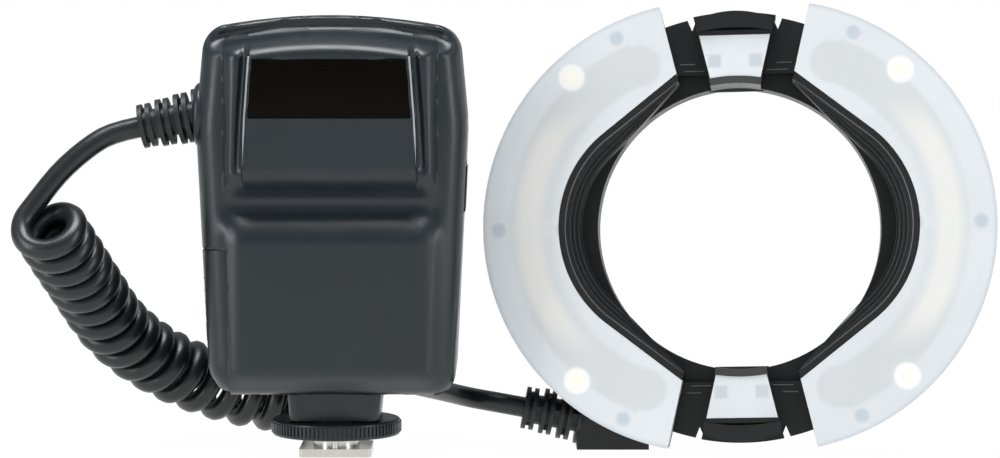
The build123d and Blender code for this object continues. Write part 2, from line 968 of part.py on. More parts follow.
def biarc(p0, t0, p1, t1):
    """Two tangent arcs between two points with given directions."""
    t = t0 + t1
    v = p1 - p0
    k = 2 * (1 - t0.dot(t1))
    d = (-v.dot(t) + sqrt(v.dot(t) ** 2 + k * v.dot(v))) / k
    middle = (p0 + p1 + (t0 - t1) * d) / 2
    turn = unit((p1 - t1 * d) - (p0 + t0 * d))
    return [TangentArc(p0, middle, tangent=t0), TangentArc(middle, p1, tangent=turn)]


def coil_path():
    """Unbroken path of the coil, with a straight stub at each end."""
    axis = CoilAxis()
    table = coil_table(axis)
    points = [coil_point(axis, table, i) for i in range(len(table))]
    tangents = [coil_tangent(axis, table, i) for i in range(len(table))]
    start = points[0] - tangents[0] * coil_stub
    end = points[-1] + tangents[-1] * coil_stub
    edges = [Line(start, points[0])]
    for i in range(len(points) - 1):
        edges += biarc(points[i], tangents[i], points[i + 1], tangents[i + 1])
    edges.append(Line(points[-1], end))
    return edges, (start, tangents[0]), (end, tangents[-1])


def coil_gap(edges):
    """Least gap of the coil to itself, measured between points of neighbouring turns."""
    points = [e @ (k / gap_samples) for e in edges[1:-1] for k in range(gap_samples)]
    per_turn = gap_samples * 2 * coil_steps_per_turn
    least = per_turn
    for i, p in enumerate(points):
        for q in points[i + per_turn // 2:i + per_turn * 3 // 2]:
            least = min(least, (p - q).length)
    return least - cord_round * 2


def tube(edges, start, direction):
    """Cord tube along a path."""
    return sweep(Plane(origin=start, z_dir=direction) * Circle(cord_round), path=Wire(edges))


def free_route(start, start_way, route, end, end_way):
    """Straight runs joined by large tangent arcs, square to what both ends meet."""
    points = [start, start + start_way * cord_lead, *[Vector(*p) for p in route], end - end_way * cord_lead, end]
    radii = []
    for a, b, c in zip(points, points[1:], points[2:]):
        shorter = min((b - a).length, (c - b).length)
        turn = radians((b - a).get_angle(c - b))
        radii.append(cord_bend_share * shorter / tan(turn / 2))
    print("free cord radii", [round(r, 1) for r in radii])
    return FilletPolyline(*points, radius=radii)


# Ring head outlines, drawn in X and Z with the ring closed

def end_half(z):
    """Half width of the gap between the closed halves at a height."""
    share = (z - end_inner_z) / (end_outer_z - end_inner_z)
    return end_inner_half + share * (end_outer_half - end_inner_half)


def wedge(grow):
    """Slanted gap between the halves, above and below."""
    low = end_inner_z - end_outer_half
    high = half_outer + cut_over
    points = [(end_half(low) + grow, low), (end_half(high) + grow, high)]
    top = make_face(Polyline(*points, *[(-x, z) for x, z in reversed(points)], close=True))
    return top + mirror(top, about=Plane.XZ)


def opening(step, grow):
    """Opening of the right half: side arc, and straight flanks to the fixed inner corners."""
    size = side_arc - step
    span = radians(side_arc_span)
    turn_point = (side_arc_x + size * cos(span), size * sin(span))
    slope = (turn_point[1] - end_inner_z) / (turn_point[0] - end_inner_half)
    top = (0, end_inner_z - slope * end_inner_half)
    low_turn = (turn_point[0], -turn_point[1])
    arc = ThreePointArc(turn_point, (side_arc_x + size, 0), low_turn)
    line = Polyline(low_turn, (0, -top[1]), top, turn_point)
    face = make_face(Wire([*arc.edges(), *line.edges()]))
    return offset(face, grow) if grow else face


def right_side():
    """Right half of the drawing."""
    return Plane.XY * Pos(half_outer, 0) * Rectangle(half_outer * 2, half_outer * 4)


def half_sketch(outer_inset, inner_grow, end_inset):
    """Outline of the right half, inset from its outer edge, inner edge and ends."""
    disc = Circle(half_outer - outer_inset) & right_side()
    return disc - opening(0, inner_grow) - wedge(end_inset)


# Right half of the ring head

def arm_room():
    """Room of the arms in the half's end walls."""
    reach = end_outer_half + end_wall * 2
    disc = Circle(half_outer - housing_wall)
    room = []
    for side in (1, -1):
        z0 = side * (arm_inner_z - slot_gap)
        z1 = side * half_outer
        low, high = min(z0, z1), max(z0, z1)
        room.append(Pos(reach / 2, (low + high) / 2) * Rectangle(reach, high - low) & disc)
    return [slab(r, arm_front_y - slot_gap, half_floor_y) for r in room]


def post_places():
    """X and Z of the screw posts of a half."""
    return [(post_x, post_z), (post_x, -post_z), (outer_post_x, 0)]


def half_screw(x, z):
    """Screw of a half, driven from the back into a post."""
    head_front = half_back_y - half_screw_head
    shank = rod(half_screw_round, (x, head_front - half_screw_length, z), (x, head_front, z))
    return shank + rod(half_screw_head_round, (x, head_front, z), (x, half_back_y, z))


def half_screws():
    """Screws of one half."""
    return [half_screw(x, z) for x, z in post_places()]


def half_housing():
    """Black half housing: floor, outer wall, end walls, screw posts and the stepped inner wall."""
    floor = slab(half_sketch(0, inner_wall, 0), half_floor_y, half_back_y)
    hollow = half_sketch(housing_wall, inner_wall, end_wall)
    wall = slab(half_sketch(0, inner_wall, 0) - hollow, diffuser_back_y, half_floor_y)
    housing_solid = floor + wall
    for k in range(wall_steps):
        band = (opening(0, inner_wall) & right_side()) - opening(k * wall_step, 0) - wedge(0)
        front = front_y + k * wall_step_depth
        back = half_back_y if k == wall_steps - 1 else front + wall_step_depth
        housing_solid += slab(band & (Circle(half_outer) & right_side()), front, back)
    for x, z in post_places():
        housing_solid += rod(post_round, (x, front_y + diffuser_wall + seat_gap, z), (x, half_floor_y, z))
    for room in arm_room():
        housing_solid -= room
    for screw in half_screws():
        housing_solid -= screw
    return housing_solid


def half_diffuser():
    """Translucent front of a half with its outer and end walls."""
    inner = inner_wall + seat_gap
    front = slab(half_sketch(0, inner, 0), front_y, front_y + diffuser_wall)
    rim = half_sketch(0, inner, 0) - half_sketch(diffuser_wall, inner, diffuser_wall)
    return front + slab(rim, front_y, diffuser_back_y)


def sector(inner, outer, span):
    """Ring sector round the X axis."""
    far = outer * 2
    cut = make_face(Polyline((0, 0), (far * cos(radians(span)), far * sin(radians(span))), (far, far),
                             (far, -far), (far * cos(radians(span)), -far * sin(radians(span))), close=True))
    ring = Circle(outer) - Circle(inner)
    return ring & cut


def half_reflector():
    """Arc trough behind the flash tube."""
    whole = slab(sector(trough_inner, trough_outer, trough_span), trough_back_y - trough_depth, trough_back_y)
    room = slab(sector(trough_inner + trough_wall, trough_outer - trough_wall, trough_span + cut_over),
                trough_back_y - trough_depth - cut_over, trough_back_y - trough_wall)
    return whole - room


def tube_middle():
    """Radius and depth of the flash tube's middle line."""
    return (trough_inner + trough_outer) / 2, trough_back_y - trough_wall - slide_gap - tube_round


def flash_tube():
    """Curved flash tube in its trough."""
    radius, y = tube_middle()
    span = radians(tube_span)
    start = (radius * cos(span), y, radius * sin(span))
    end = (start[0], y, -start[2])
    arc = ThreePointArc(start, (radius, y, 0), end)
    direction = (sin(span), 0, -cos(span))
    return sweep(Plane(origin=start, z_dir=direction) * Circle(tube_round), path=arc)


def tube_clip():
    """Clip across the trough at its middle."""
    front = trough_back_y - trough_depth - clip_thickness
    return block(trough_inner - clip_reach, trough_outer + clip_reach, front, front + clip_thickness,
                 -clip_width / 2, clip_width / 2)


def half_lamps():
    """Two modelling lamps on the floor of a half."""
    lamps = []
    for z in (lamp_z, -lamp_z):
        base = rod(lamp_round, (lamp_x, half_floor_y - seat_gap - lamp_height, z),
                   (lamp_x, half_floor_y - seat_gap, z))
        dome = place(lamp_x, half_floor_y - seat_gap - lamp_height, z) * Sphere(lamp_round)
        lamps.append(base + dome)
    return lamps


# Ring frame, bridges, windows and buttons

ring_location = (place(ring_x, ring_y, ring_z) * Rotation(0, 0, -ring_turn) * Rotation(-ring_lean, 0, 0)
                 * Rotation(0, -ring_roll, 0))


def claw(grow, travel):
    """Claw of the upper release button, grown by a clearance and lengthened by its travel."""
    z0 = bore_round - claw_tip - grow
    return block(-claw_half - grow, claw_half + grow, claw_front_y - grow, claw_front_y + claw_thickness + grow,
                 z0, z0 + claw_length + travel + grow * 2)


def bridge_screw(x):
    """Screw that holds a bridge on the ring frame."""
    head_front = frame_back_y - bridge_screw_head
    shank = rod(bridge_screw_round, (x, 0, bridge_screw_z), (x, head_front, bridge_screw_z))
    return shank + rod(bridge_screw_head_round, (x, head_front, bridge_screw_z), (x, frame_back_y, bridge_screw_z))


def bridge_screws():
    """Two screws of the upper bridge, clear of the claw."""
    return [bridge_screw(-bridge_screw_x), bridge_screw(bridge_screw_x)]


def boss():
    """Cable boss on the frame, cut flat where the ring head stands."""
    solid = block(boss_left_x, boss_right_x, boss_front_y, boss_back_y, 0, boss_top_z)
    return rounded(solid, solid.edges().filter_by(Axis.X).sort_by(Axis.Z)[-2:], cap_stem_depth)


def boss_web():
    """Web that joins the boss to the ring frame, behind the left half."""
    web = slab(Circle(half_outer), frame_front_y, frame_back_y)
    room = block(boss_left_x + hub_edge, boss_right_x, ring_y - half_outer, ring_y + half_outer, 0, ring_z / 2)
    return (ring_location * web) & room


def ring_frame():
    """Ring frame with the adapter bore, the bridge seats and the cable boss."""
    ring = slab(Circle(frame_outer) - Circle(bore_round), frame_front_y, frame_back_y)
    for side in (1, -1):
        ring -= claw(slide_gap, cap_travel) if side > 0 else Rotation(0, 180, 0) * claw(slide_gap, cap_travel)
    for turn in (0, 180):
        for screw in bridge_screws():
            ring -= Rotation(0, turn, 0) * screw
    ring = ring_location * ring
    bore = ring_location * slab(Circle(bore_round + body_wall), frame_front_y - cut_over, frame_back_y + cut_over)
    base = (boss() + boss_web()) - bore
    front_limit = ring_location * slab(Circle(half_outer * 2), frame_front_y - half_outer, frame_front_y)
    return ring + (base - front_limit) - relief_seat(ring_relief_frame)


def window_outline(inset):
    """Lamp window between the closed halves, from the bore to the window's outer edge."""
    low = end_inner_z - end_outer_half
    narrow = half_gap + window_inset + inset
    points = [(end_half(low) - narrow, low), (end_half(window_outer_z) - narrow, window_outer_z - inset)]
    face = make_face(Polyline(*points, *[(-x, z) for x, z in reversed(points)], close=True))
    return face - Circle(bore_round + inset)


def arm_outline():
    """Both arms of the upper bridge with their notches beside the button."""
    long_arm = Pos(0, (arm_inner_z + arm_shoulder_z) / 2) * Rectangle(arm_reach * 2, arm_shoulder_z - arm_inner_z)
    short_arm = Pos(0, (arm_shoulder_z + arm_outer) / 2) * Rectangle(arm_short_reach * 2,
                                                                    arm_outer - arm_shoulder_z)
    arms = (long_arm + short_arm) & Circle(arm_outer)
    for side in (1, -1):
        x = side * notch_x
        arms -= make_face(Polyline((x, notch_low_z), (x - notch_half * 2, half_outer),
                                   (x + notch_half * 2, half_outer), close=True))
    return arms


def cap_room(front, back, low):
    """Room of the release button between two depths, above a height."""
    half = end_outer_half + cut_over
    return block(-half, half, front, back, low, half_outer)


def cap_low_z():
    """Lower edge of the button's body at rest."""
    return window_outer_z + cap_wall + slide_gap + cap_travel


def bridge():
    """Upper bridge: hollow block between the halves, and the arms that the halves slide on."""
    low = end_inner_z - end_outer_half
    points = [(end_half(low) - half_gap, low), (end_half(arm_outer) - half_gap, arm_outer)]
    face = make_face(Polyline(*points, *[(-x, z) for x, z in reversed(points)], close=True))
    face = (face & Circle(arm_outer)) - Circle(bore_round)
    solid = slab(face, bridge_front_y, frame_front_y) + slab(arm_outline(), arm_front_y, arm_back_y)
    solid -= slab(window_outline(-seat_gap), bridge_front_y - cut_over, bridge_front_y + window_plate)
    solid -= slab(window_outline(window_lip), bridge_front_y, bridge_front_y + window_plate + lamp_room())
    solid -= window_lip_room(seat_gap)
    solid -= cap_room(bridge_front_y - cut_over, cap_back_y + slide_gap, window_outer_z + cap_wall)
    solid -= cap_stem(slide_gap, cap_travel)
    for screw in bridge_screws():
        solid -= screw
    return solid


def lamp_room():
    """Depth of the lamp room behind the window."""
    return lamp_board + lamp_square_height + slide_gap * 2


def window_lip_room(grow):
    """Inner wall of the window along the bore."""
    half = end_half(bore_round) - half_gap - window_inset - window_lip
    ring = Circle(bore_round + window_lip + grow) - Circle(bore_round - cut_over * grow / seat_gap)
    strip = Pos(0, bore_round) * Rectangle((half + grow) * 2, bore_round)
    return slab(ring & strip, bridge_front_y + window_plate / 2, window_lip_back_y + grow)


def window():
    """Upper lamp window with its inner wall along the bore."""
    plate = slab(window_outline(0), bridge_front_y, bridge_front_y + window_plate)
    return plate + window_lip_room(0)


def window_lamps():
    """Lamp board behind the window with two square lamps."""
    back = bridge_front_y + window_plate + lamp_room() - seat_gap
    half = lamp_square_x + lamp_square / 2
    z0 = lamp_square_z - lamp_square / 2 - lamp_board
    z1 = lamp_square_z + lamp_square / 2 + lamp_board
    narrow = end_half(z0) - half_gap - window_inset - window_lip - seat_gap * 2
    board = block(-narrow, narrow, back - lamp_board, back, z0, z1)
    squares = [block(x - lamp_square / 2, x + lamp_square / 2, back - lamp_board - lamp_square_height,
                     back - lamp_board, z0 + lamp_board, z1 - lamp_board)
               for x in (-(narrow - lamp_square / 2), narrow - lamp_square / 2)]
    return board + squares


def cap_stem(grow, travel):
    """Stem of the release button in its guide."""
    z1 = cap_low_z() + cap_stem_depth
    return block(-cap_stem_width / 2 - grow, cap_stem_width / 2 + grow, cap_back_y - cap_stem_depth - grow,
                 cap_back_y + cap_stem_depth + grow, z1 - cap_stem_depth * 2 - travel - grow, z1 + grow)


def release_button():
    """Release button: curved cap with a lip over the window, and its stem."""
    outer = Pos(0, cap_outer_z - cap_arc) * Circle(cap_arc)
    wide = Pos(0, cap_outer_z) * Rectangle(cap_half * 2, cap_outer_z - cap_low_z() + cap_arc)
    inner = Pos(0, cap_low_z() - cap_travel - cap_arc * 2) * Circle(cap_arc * 2 + slide_gap)
    above_low = Pos(0, cap_low_z() + cap_arc) * Rectangle(cap_arc * 2, cap_arc * 2)
    lip = (outer & wide) - inner
    body = lip & above_low
    front = bridge_front_y - slide_gap
    cap = slab(body, front, cap_back_y) + slab(lip, front - diffuser_wall / 2, front)
    return cap + (cap_stem(0, 0) & half_space(cap_back_y - cap_stem_depth, body_back, 0, cap_outer_z))


def claw_plate():
    """Sprung claw that holds the adapter."""
    return claw(0, 0)


# Assembly

def unit_nodes():
    """Nodes of the control unit."""
    nodes = housing()
    nodes.update({
        "sensor_window": sensor_window(),
        "door_latch": door_latch(),
        "socket_cover": socket_cover(),
        "port_sockets": port_sockets(),
        "cord_hub": cord_hub(),
        "unit_relief": unit_relief_frame * strain_relief(),
        "neck_block": neck_block(),
        "display_pane": display_pane(),
        "display_module": display_module(),
        "power_switch": power_switch(),
        "case_screws": group(case_screws()),
        "battery_cells": group(battery_cells()),
        "battery_tray": battery_tray(),
        "battery_contacts": group(battery_contacts()),
        "main_board": main_board(),
        "main_capacitor": main_capacitor(),
        "charge_transformer": charge_transformer(),
        "lock_wheel": lock_wheel(),
        "clamp_ring": clamp_ring(),
        "foot_plate": foot_plate(),
        "contact_pins": group(contact_pins()),
        "pin_insulator": pin_insulator(),
    })
    nodes.update({name: push_button(x, z) for name, (x, z) in rear_x_z().items()})
    return nodes


def cord_nodes():
    """Coil and the two free stretches of the cord, with their lengths printed."""
    coil_edges, (coil_in, in_way), (coil_out, out_way) = coil_path()
    print("coil gap to itself", round(coil_gap(coil_edges), 2))
    upper_start = Vector(*point_on(unit_relief_frame, 0, 0, relief_length))
    upper_way = Plane(unit_relief_frame).z_dir
    lower_end = Vector(*point_on(ring_relief_frame, 0, 0, relief_length))
    lower_way = Plane(ring_relief_frame).z_dir * -1
    upper = free_route(upper_start, upper_way, upper_route, coil_in, in_way)
    lower = free_route(coil_out, out_way, lower_route, lower_end, lower_way)
    coil = tube(coil_edges, coil_in, in_way)
    upper_tube = tube(upper.edges(), upper_start, upper_way)
    lower_tube = tube(lower.edges(), coil_out, out_way)
    section = pi * cord_round ** 2
    coil_length = sum(e.length for e in coil_edges)
    for name, solid, length in (("upper", upper_tube, upper.length), ("coil", coil, coil_length),
                                ("lower", lower_tube, lower.length)):
        print("cord", name, "length", round(length, 1), "volume share", round(solid.volume / (section * length), 4))
    return {"cord_upper": upper_tube, "cord_coil": coil, "cord_lower": lower_tube,
            "ring_relief": ring_relief_frame * strain_relief()}


def half_nodes():
    """Nodes of the right half, drawn with the ring closed."""
    return {"housing": half_housing(), "diffuser": half_diffuser(), "reflector": half_reflector(),
            "flash_tube": flash_tube(), "tube_clip": tube_clip(), "lamps": group(half_lamps()),
            "screws": group(half_screws())}


def ring_nodes():
    """Nodes of the ring head."""
    nodes = {"ring_frame": ring_frame()}
    for side, sign in (("left", -1), ("right", 1)):
        shift = ring_location * place(sign * half_pull, 0, 0)
        for name, solid in half_nodes().items():
            own = solid if sign > 0 else mirror(solid, about=Plane.YZ)
            nodes[f"{side}_{name}"] = shift * own
    for level, turn in (("top", 0), ("bottom", 180)):
        spot = ring_location * Rotation(0, turn, 0)
        nodes[f"bridge_{level}"] = spot * bridge()
        nodes[f"window_{level}"] = spot * window()
        nodes[f"window_lamps_{level}"] = spot * group([window_lamps()])
        nodes[f"release_button_{level}"] = spot * release_button()
        nodes[f"claw_{level}"] = spot * claw_plate()
        nodes[f"bridge_screws_{level}"] = spot * group(bridge_screws())
    return nodes


def main():
    """Write one file for each node."""
    os.makedirs("parts", exist_ok=True)
    for nodes in (unit_nodes(), cord_nodes(), ring_nodes()):
        for name, solid in nodes.items():
            export_step(solid, f"parts/{name}.step")


if __name__ == "__main__":
    main()
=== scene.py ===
"""Macro ring flash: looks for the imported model, in metres, in the frame of the part.

+X runs from the control unit to the ring head, +Y away from the viewer and +Z up.
"""

import logging
import math
from dataclasses import dataclass, field
from enum import Enum

import bmesh
import bpy
import numpy as np
from mathutils import Matrix, Vector

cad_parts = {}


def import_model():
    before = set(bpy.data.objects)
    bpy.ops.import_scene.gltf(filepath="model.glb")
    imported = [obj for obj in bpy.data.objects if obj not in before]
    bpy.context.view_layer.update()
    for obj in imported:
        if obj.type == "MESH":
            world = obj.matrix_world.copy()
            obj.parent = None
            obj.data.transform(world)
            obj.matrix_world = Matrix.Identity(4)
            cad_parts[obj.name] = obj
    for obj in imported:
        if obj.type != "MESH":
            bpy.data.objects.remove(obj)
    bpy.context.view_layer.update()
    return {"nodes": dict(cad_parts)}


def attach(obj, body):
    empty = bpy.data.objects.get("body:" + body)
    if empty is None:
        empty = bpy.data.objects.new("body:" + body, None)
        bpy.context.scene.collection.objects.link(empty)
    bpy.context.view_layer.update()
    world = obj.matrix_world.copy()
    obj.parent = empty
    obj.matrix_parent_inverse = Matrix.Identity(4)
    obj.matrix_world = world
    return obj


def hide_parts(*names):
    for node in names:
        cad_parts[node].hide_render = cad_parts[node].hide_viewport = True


LOG = logging.getLogger("ring_flash")
MM = 0.001
PER_METRE = 1000
SHARP_ANGLE = 35
COAT_ROUGHNESS = 0.06
WHITE = (1, 1, 1, 1)
Colour = tuple[float, float, float]
Point = tuple[float, float, float]
Pair = tuple[float, float]
Array = np.ndarray
Material = bpy.types.Material
Node = bpy.types.Node
Piece = bpy.types.Object
Socket = bpy.types.NodeSocket


class Grain(Enum):
    """Surface of a finish: scale, octaves and roughness of its cells, then strength and distance of their
    bump and of the slow waves under them."""

    SPARK = (5200, 2, 0.5, 0.32, 0.00006, 0.015, 0.0005)
    BRUSH = (900, 4, 0.7, 0.25, 0.00005, 0.05, 0.0004)
    SMOOTH = (60, 1, 0.5, 0.04, 0.0006, 0, 0.0005)
    RUBBER = (3000, 3, 0.5, 0.35, 0.00008, 0.08, 0.0005)


class Side(Enum):
    """Half of the ring head, with the sign of its x."""

    LEFT = -1.0
    RIGHT = 1.0


class Level(Enum):
    """End of the ring head, with the sign of its z."""

    TOP = 1.0
    BOTTOM = -1.0


# Materials


def fill(node: Node, inputs: dict[str | int, object]) -> Node:
    """Gives a node's inputs their constants or their links.

    Args:
        node: the node.
        inputs: constant or source socket of each input, by its name or number.

    Returns:
        The node.
    """
    for key, value in inputs.items():
        if isinstance(value, Socket):
            node.id_data.links.new(value, node.inputs[key])
        else:
            node.inputs[key].default_value = value
    return node


def scaled(colour: Colour, factor: float, extra: float = 0.0) -> Colour:
    """Colour times a factor, with an extra added, up to white."""
    return tuple(min(c * factor + extra, 1.0) for c in colour)


@dataclass(frozen=True)
class Spread:
    """Noise: its scale per metre, its octaves, and the band of its values that is used."""

    scale: float
    detail: float
    low: float = 0.3
    high: float = 0.7


class Tree:
    """Node tree of a material or a world."""

    def __init__(self, owner: Material | bpy.types.World) -> None:
        """Empties the owner's node tree.

        Args:
            owner: the material or world.
        """
        owner.use_nodes = True
        self.nodes = owner.node_tree.nodes
        self.nodes.clear()

    def add(self, kind: str, inputs: dict[str | int, object]) -> Node:
        """Adds a node and fills its inputs."""
        return fill(self.nodes.new(kind), inputs)

    def maths(self, kind: str, first: Socket, second: Socket | float | Point, output: int = 0) -> Socket:
        """Works out a value from two, or from two vectors where the second is a tuple.

        Args:
            kind: the operation.
            first: its first value.
            second: its second value.
            output: number of the result's socket.

        Returns:
            The result.
        """
        vectors = isinstance(second, tuple)
        node = self.add("ShaderNodeVectorMath" if vectors else "ShaderNodeMath", {0: first, 1: second})
        node.operation = kind
        return node.outputs[output]


class Graph(Tree):
    """A finish's node tree, with short calls for the nodes that it uses."""

    def __init__(self, name: str) -> None:
        """Starts a material that holds its shader alone.

        Args:
            name: the material's name.
        """
        self.material = bpy.data.materials.new(name)
        super().__init__(self.material)
        self.shader = self.add("ShaderNodeBsdfPrincipled", {})
        self.add("ShaderNodeOutputMaterial", {"Surface": self.shader.outputs["BSDF"]})
        self.place = self.add("ShaderNodeTexCoord", {}).outputs["Object"]

    def mapped(self, scale: Point, turn: Point = (0, 0, 0), shift: Point = (0, 0, 0)) -> Socket:
        """Object coordinates, scaled, turned by Euler angles in radians and shifted."""
        inputs = {"Vector": self.place, "Scale": scale, "Rotation": turn, "Location": shift}
        return self.add("ShaderNodeMapping", inputs).outputs["Vector"]

    def noise(self, scale: float, detail: float, vector: Socket | None = None,
              roughness: float = 0.5) -> Socket:
        """Noise of a scale per metre, over the object's coordinates or others."""
        inputs = {"Vector": vector or self.place, "Scale": scale, "Detail": detail, "Roughness": roughness}
        return self.add("ShaderNodeTexNoise", inputs).outputs["Fac"]

    def ranged(self, value: Socket, source: Pair, target: Pair,
               smooth: bool = False) -> Socket:
        """Carries a value from one range into another, clamped.

        Args:
            value: the value.
            source: its range.
            target: the range that it goes to.
            smooth: whether it eases at both ends.

        Returns:
            The new value.
        """
        inputs = dict(zip(("Value", "From Min", "From Max", "To Min", "To Max"), (value, *source, *target)))
        node = self.add("ShaderNodeMapRange", inputs)
        node.interpolation_type = "SMOOTHSTEP" if smooth else "LINEAR"
        return node.outputs["Result"]

    def spread(self, kind: Spread, target: Pair, smooth: bool = False) -> Socket:
        """Noise of a kind, carried into a range."""
        return self.ranged(self.noise(kind.scale, kind.detail), (kind.low, kind.high), target, smooth)

    def fade(self, value: Socket, source: Pair, share: float = 1.0) -> Socket:
        """Share that falls smoothly to nought over a range."""
        return self.ranged(value, source, (share, 0), True)

    def away(self, plane: Socket, x: float, z: float) -> Socket:
        """Distance in millimetres to a place in the ring's plane."""
        return self.maths("DISTANCE", plane, (x, 0, z), 1)

    def off(self, value: Socket, middle: float) -> Socket:
        """How far a value is from a middle, |value - middle|."""
        return self.maths("ABSOLUTE", self.maths("SUBTRACT", value, middle), 0)

    def mixed(self, share: Socket, first: Colour | Socket, second: Colour) -> Socket:
        """Colour that goes from the first to the second.

        Args:
            share: share of the second.
            first: the colour at nought.
            second: the colour at one.

        Returns:
            The colour.
        """
        node = self.add("ShaderNodeMix", {})
        node.data_type = "RGBA"
        start = (*first, 1) if isinstance(first, tuple) else first
        return fill(node, {0: share, 6: start, 7: (*second, 1)}).outputs[2]

    def bump(self, heights: list[tuple[Socket, float, float]]) -> None:
        """Chains bump nodes into the shader's normal.

        Args:
            heights: height, strength and distance in metres of each layer.
        """
        below = {}
        for height, strength, distance in heights:
            inputs = {"Height": height, "Strength": strength, "Distance": distance, **below}
            below = {"Normal": self.add("ShaderNodeBump", inputs).outputs["Normal"]}
        fill(self.shader, below)


@dataclass(frozen=True)
class Finish:
    """One finish: its colour, roughness and grain, how they vary, and the shader's own constants."""

    name: str
    colour: Colour
    roughness: float = 0.45
    grain: Grain = Grain.SPARK
    variation: float = 0.14
    metallic: float = 0.0
    specular: float = 0.5
    coat: float = 0.0
    alpha: float = 1.0
    depth: float = 1.0
    along: Point = (1, 1, 1)
    clouds: Spread = Spread(55, 3)
    specks: Spread = Spread(2600, 2, 0.62, 0.8)
    wear: Spread = Spread(140, 4, 0.3, 0.75)

    def build(self) -> Material:
        """Makes the material: two noises move the colour, one the roughness, and the grain gives the bump.

        Returns:
            The new material.
        """
        graph = Graph(self.name)
        dark, light = scaled(self.colour, 1 - self.variation), scaled(self.colour, 1 + self.variation)
        base = graph.mixed(graph.spread(self.clouds, (0, 1)), dark, light)
        base = graph.mixed(graph.spread(self.specks, (0, 0.5)), base, scaled(self.colour, 1.5, 0.01))
        rough = graph.spread(self.wear, (self.roughness * 0.85, self.roughness * 1.15))
        fill(graph.shader, {
            "Base Color": base, "Roughness": rough, "Metallic": self.metallic, "Alpha": self.alpha,
            "Specular IOR Level": self.specular, "Coat Weight": self.coat, "Coat Roughness": COAT_ROUGHNESS})
        scale, detail, roughness, strength, distance, waves, swell = self.grain.value
        cells = graph.noise(scale, detail, graph.mapped(self.along), roughness)
        graph.bump([(cells, strength * self.depth, distance), (graph.noise(90, 2), waves, swell)])
        return graph.material


HOUSING = Finish("housing_black", (0.009, 0.0155, 0.0195), 0.33, variation=0.06, depth=0.2)
DOOR = Finish("door_black", (0.008, 0.014, 0.018), 0.34, variation=0.06, depth=0.2)
GLOSS = Finish("gloss_black", (0.0022, 0.0018, 0.0014), 0.07, Grain.SMOOTH, 0.1, specular=0.07)
RUBBER = Finish("rubber_black", (0.010, 0.012, 0.013), 0.42, Grain.RUBBER, 0.16, depth=0.6)
CORD = Finish("cord_black", (0.007, 0.0085, 0.0095), 0.33, Grain.RUBBER, 0.16, specular=0.55, depth=0.8)
RING = Finish("ring_black", (0.004, 0.0045, 0.005), 0.42, variation=0.18, depth=0.7)
STEEL = Finish("steel", (0.62, 0.60, 0.57), 0.24, Grain.BRUSH, 0.08, 1.0, along=(0.15, 1, 1))
GOLD = Finish("contact_gold", (0.78, 0.58, 0.24), 0.22, Grain.BRUSH, 0.08, 1.0, along=(1, 1, 0.2))
SCREW = Finish("screw_steel", (0.30, 0.30, 0.31), 0.3, Grain.BRUSH, 0.12, 1.0)
WRAP = Finish("cell_wrap", (0.10, 0.13, 0.16), 0.32, Grain.SMOOTH, 0.1, coat=0.3)
BOARD = Finish("board_green", (0.015, 0.09, 0.035), 0.38, variation=0.2)
MIRROR = Finish("reflector_silver", (0.86, 0.88, 0.90), 0.14, Grain.SMOOTH, 0.03, 1.0)
TUBE = Finish("tube_glass", (0.92, 0.90, 0.82), 0.10, Grain.SMOOTH, 0.04, coat=0.5)
LAMP = Finish("lamp_clear", (0.95, 0.93, 0.84), 0.08, Grain.SMOOTH, 0.04, coat=0.5)
INSULATOR = Finish("insulator", (0.02, 0.02, 0.021), 0.5, variation=0.2)
DISPLAY = Finish("display_grey", (0.11, 0.13, 0.115), 0.2, Grain.SMOOTH, 0.05)
PANE = Finish("pane_clear", (0.55, 0.60, 0.62), 0.05, Grain.SMOOTH, 0.04, coat=0.6, alpha=0.35)
# Pale grey that paints the highlight along the window panel's edges.
PANEL_HIGHLIGHT = Finish("panel_edge_highlight", (0.34, 0.35, 0.36), 0.2, Grain.SMOOTH, 0.1, coat=0.5)
# Pale grey that paints the highlight on the inner wall's rims and lips and on the bridge lines.
RIDGE_HIGHLIGHT = Finish("ridge_highlight_grey", (0.085, 0.088, 0.09), 0.35, variation=0.1)
SILL = Finish("sill_grey", (0.038, 0.039, 0.038), 0.4, variation=0.12)
MARK = Finish("mark_grey", (0.34, 0.36, 0.37), 0.4, variation=0.08)


# Ring head coordinates


@dataclass(frozen=True)
class RingFrame:
    """Place and attitude of the ring head: its own x to the right half, y away and z up, in millimetres."""

    centre: Point = (105.3, 4.0, 58.7)
    turn: float = 5.5
    lean: float = 6.0
    roll: float = 1.5

    def matrix(self) -> Array:
        """Rotation from the ring's own axes to the part's: roll about Y, lean about X, then turn about Z."""
        whole = np.eye(3)
        for degrees, (a, b) in ((self.turn, (0, 1)), (self.lean, (1, 2)), (self.roll, (2, 0))):
            angle = math.radians(-degrees)
            one = np.eye(3)
            one[a, a] = one[b, b] = math.cos(angle)
            one[a, b], one[b, a] = -math.sin(angle), math.sin(angle)
            whole = whole @ one
        return whole

    def world(self, points: Array) -> Array:
        """Points in the ring's own millimetres, as metres in the part's frame."""
        return (points @ self.matrix().T + np.array(self.centre)) * MM


RING_FRAME = RingFrame()


def ring_plane(graph: Graph, across: float = 0.0) -> Socket:
    """Object coordinates turned into the ring's own axes, in millimetres.

    Args:
        graph: the material's graph.
        across: how far they are drawn back along the ring's x.

    Returns:
        The coordinates.
    """
    turn = RING_FRAME.matrix().T
    shift = -(turn @ np.array(RING_FRAME.centre)) - [across, 0, 0]
    angles = Matrix(turn.tolist()).to_euler("XYZ")
    return graph.mapped((PER_METRE, PER_METRE, PER_METRE), tuple(angles), tuple(shift))


# Meshes


def unit(vectors: Array) -> Array:
    """Vectors divided by their own lengths."""
    return vectors / np.linalg.norm(vectors, axis=-1, keepdims=True)


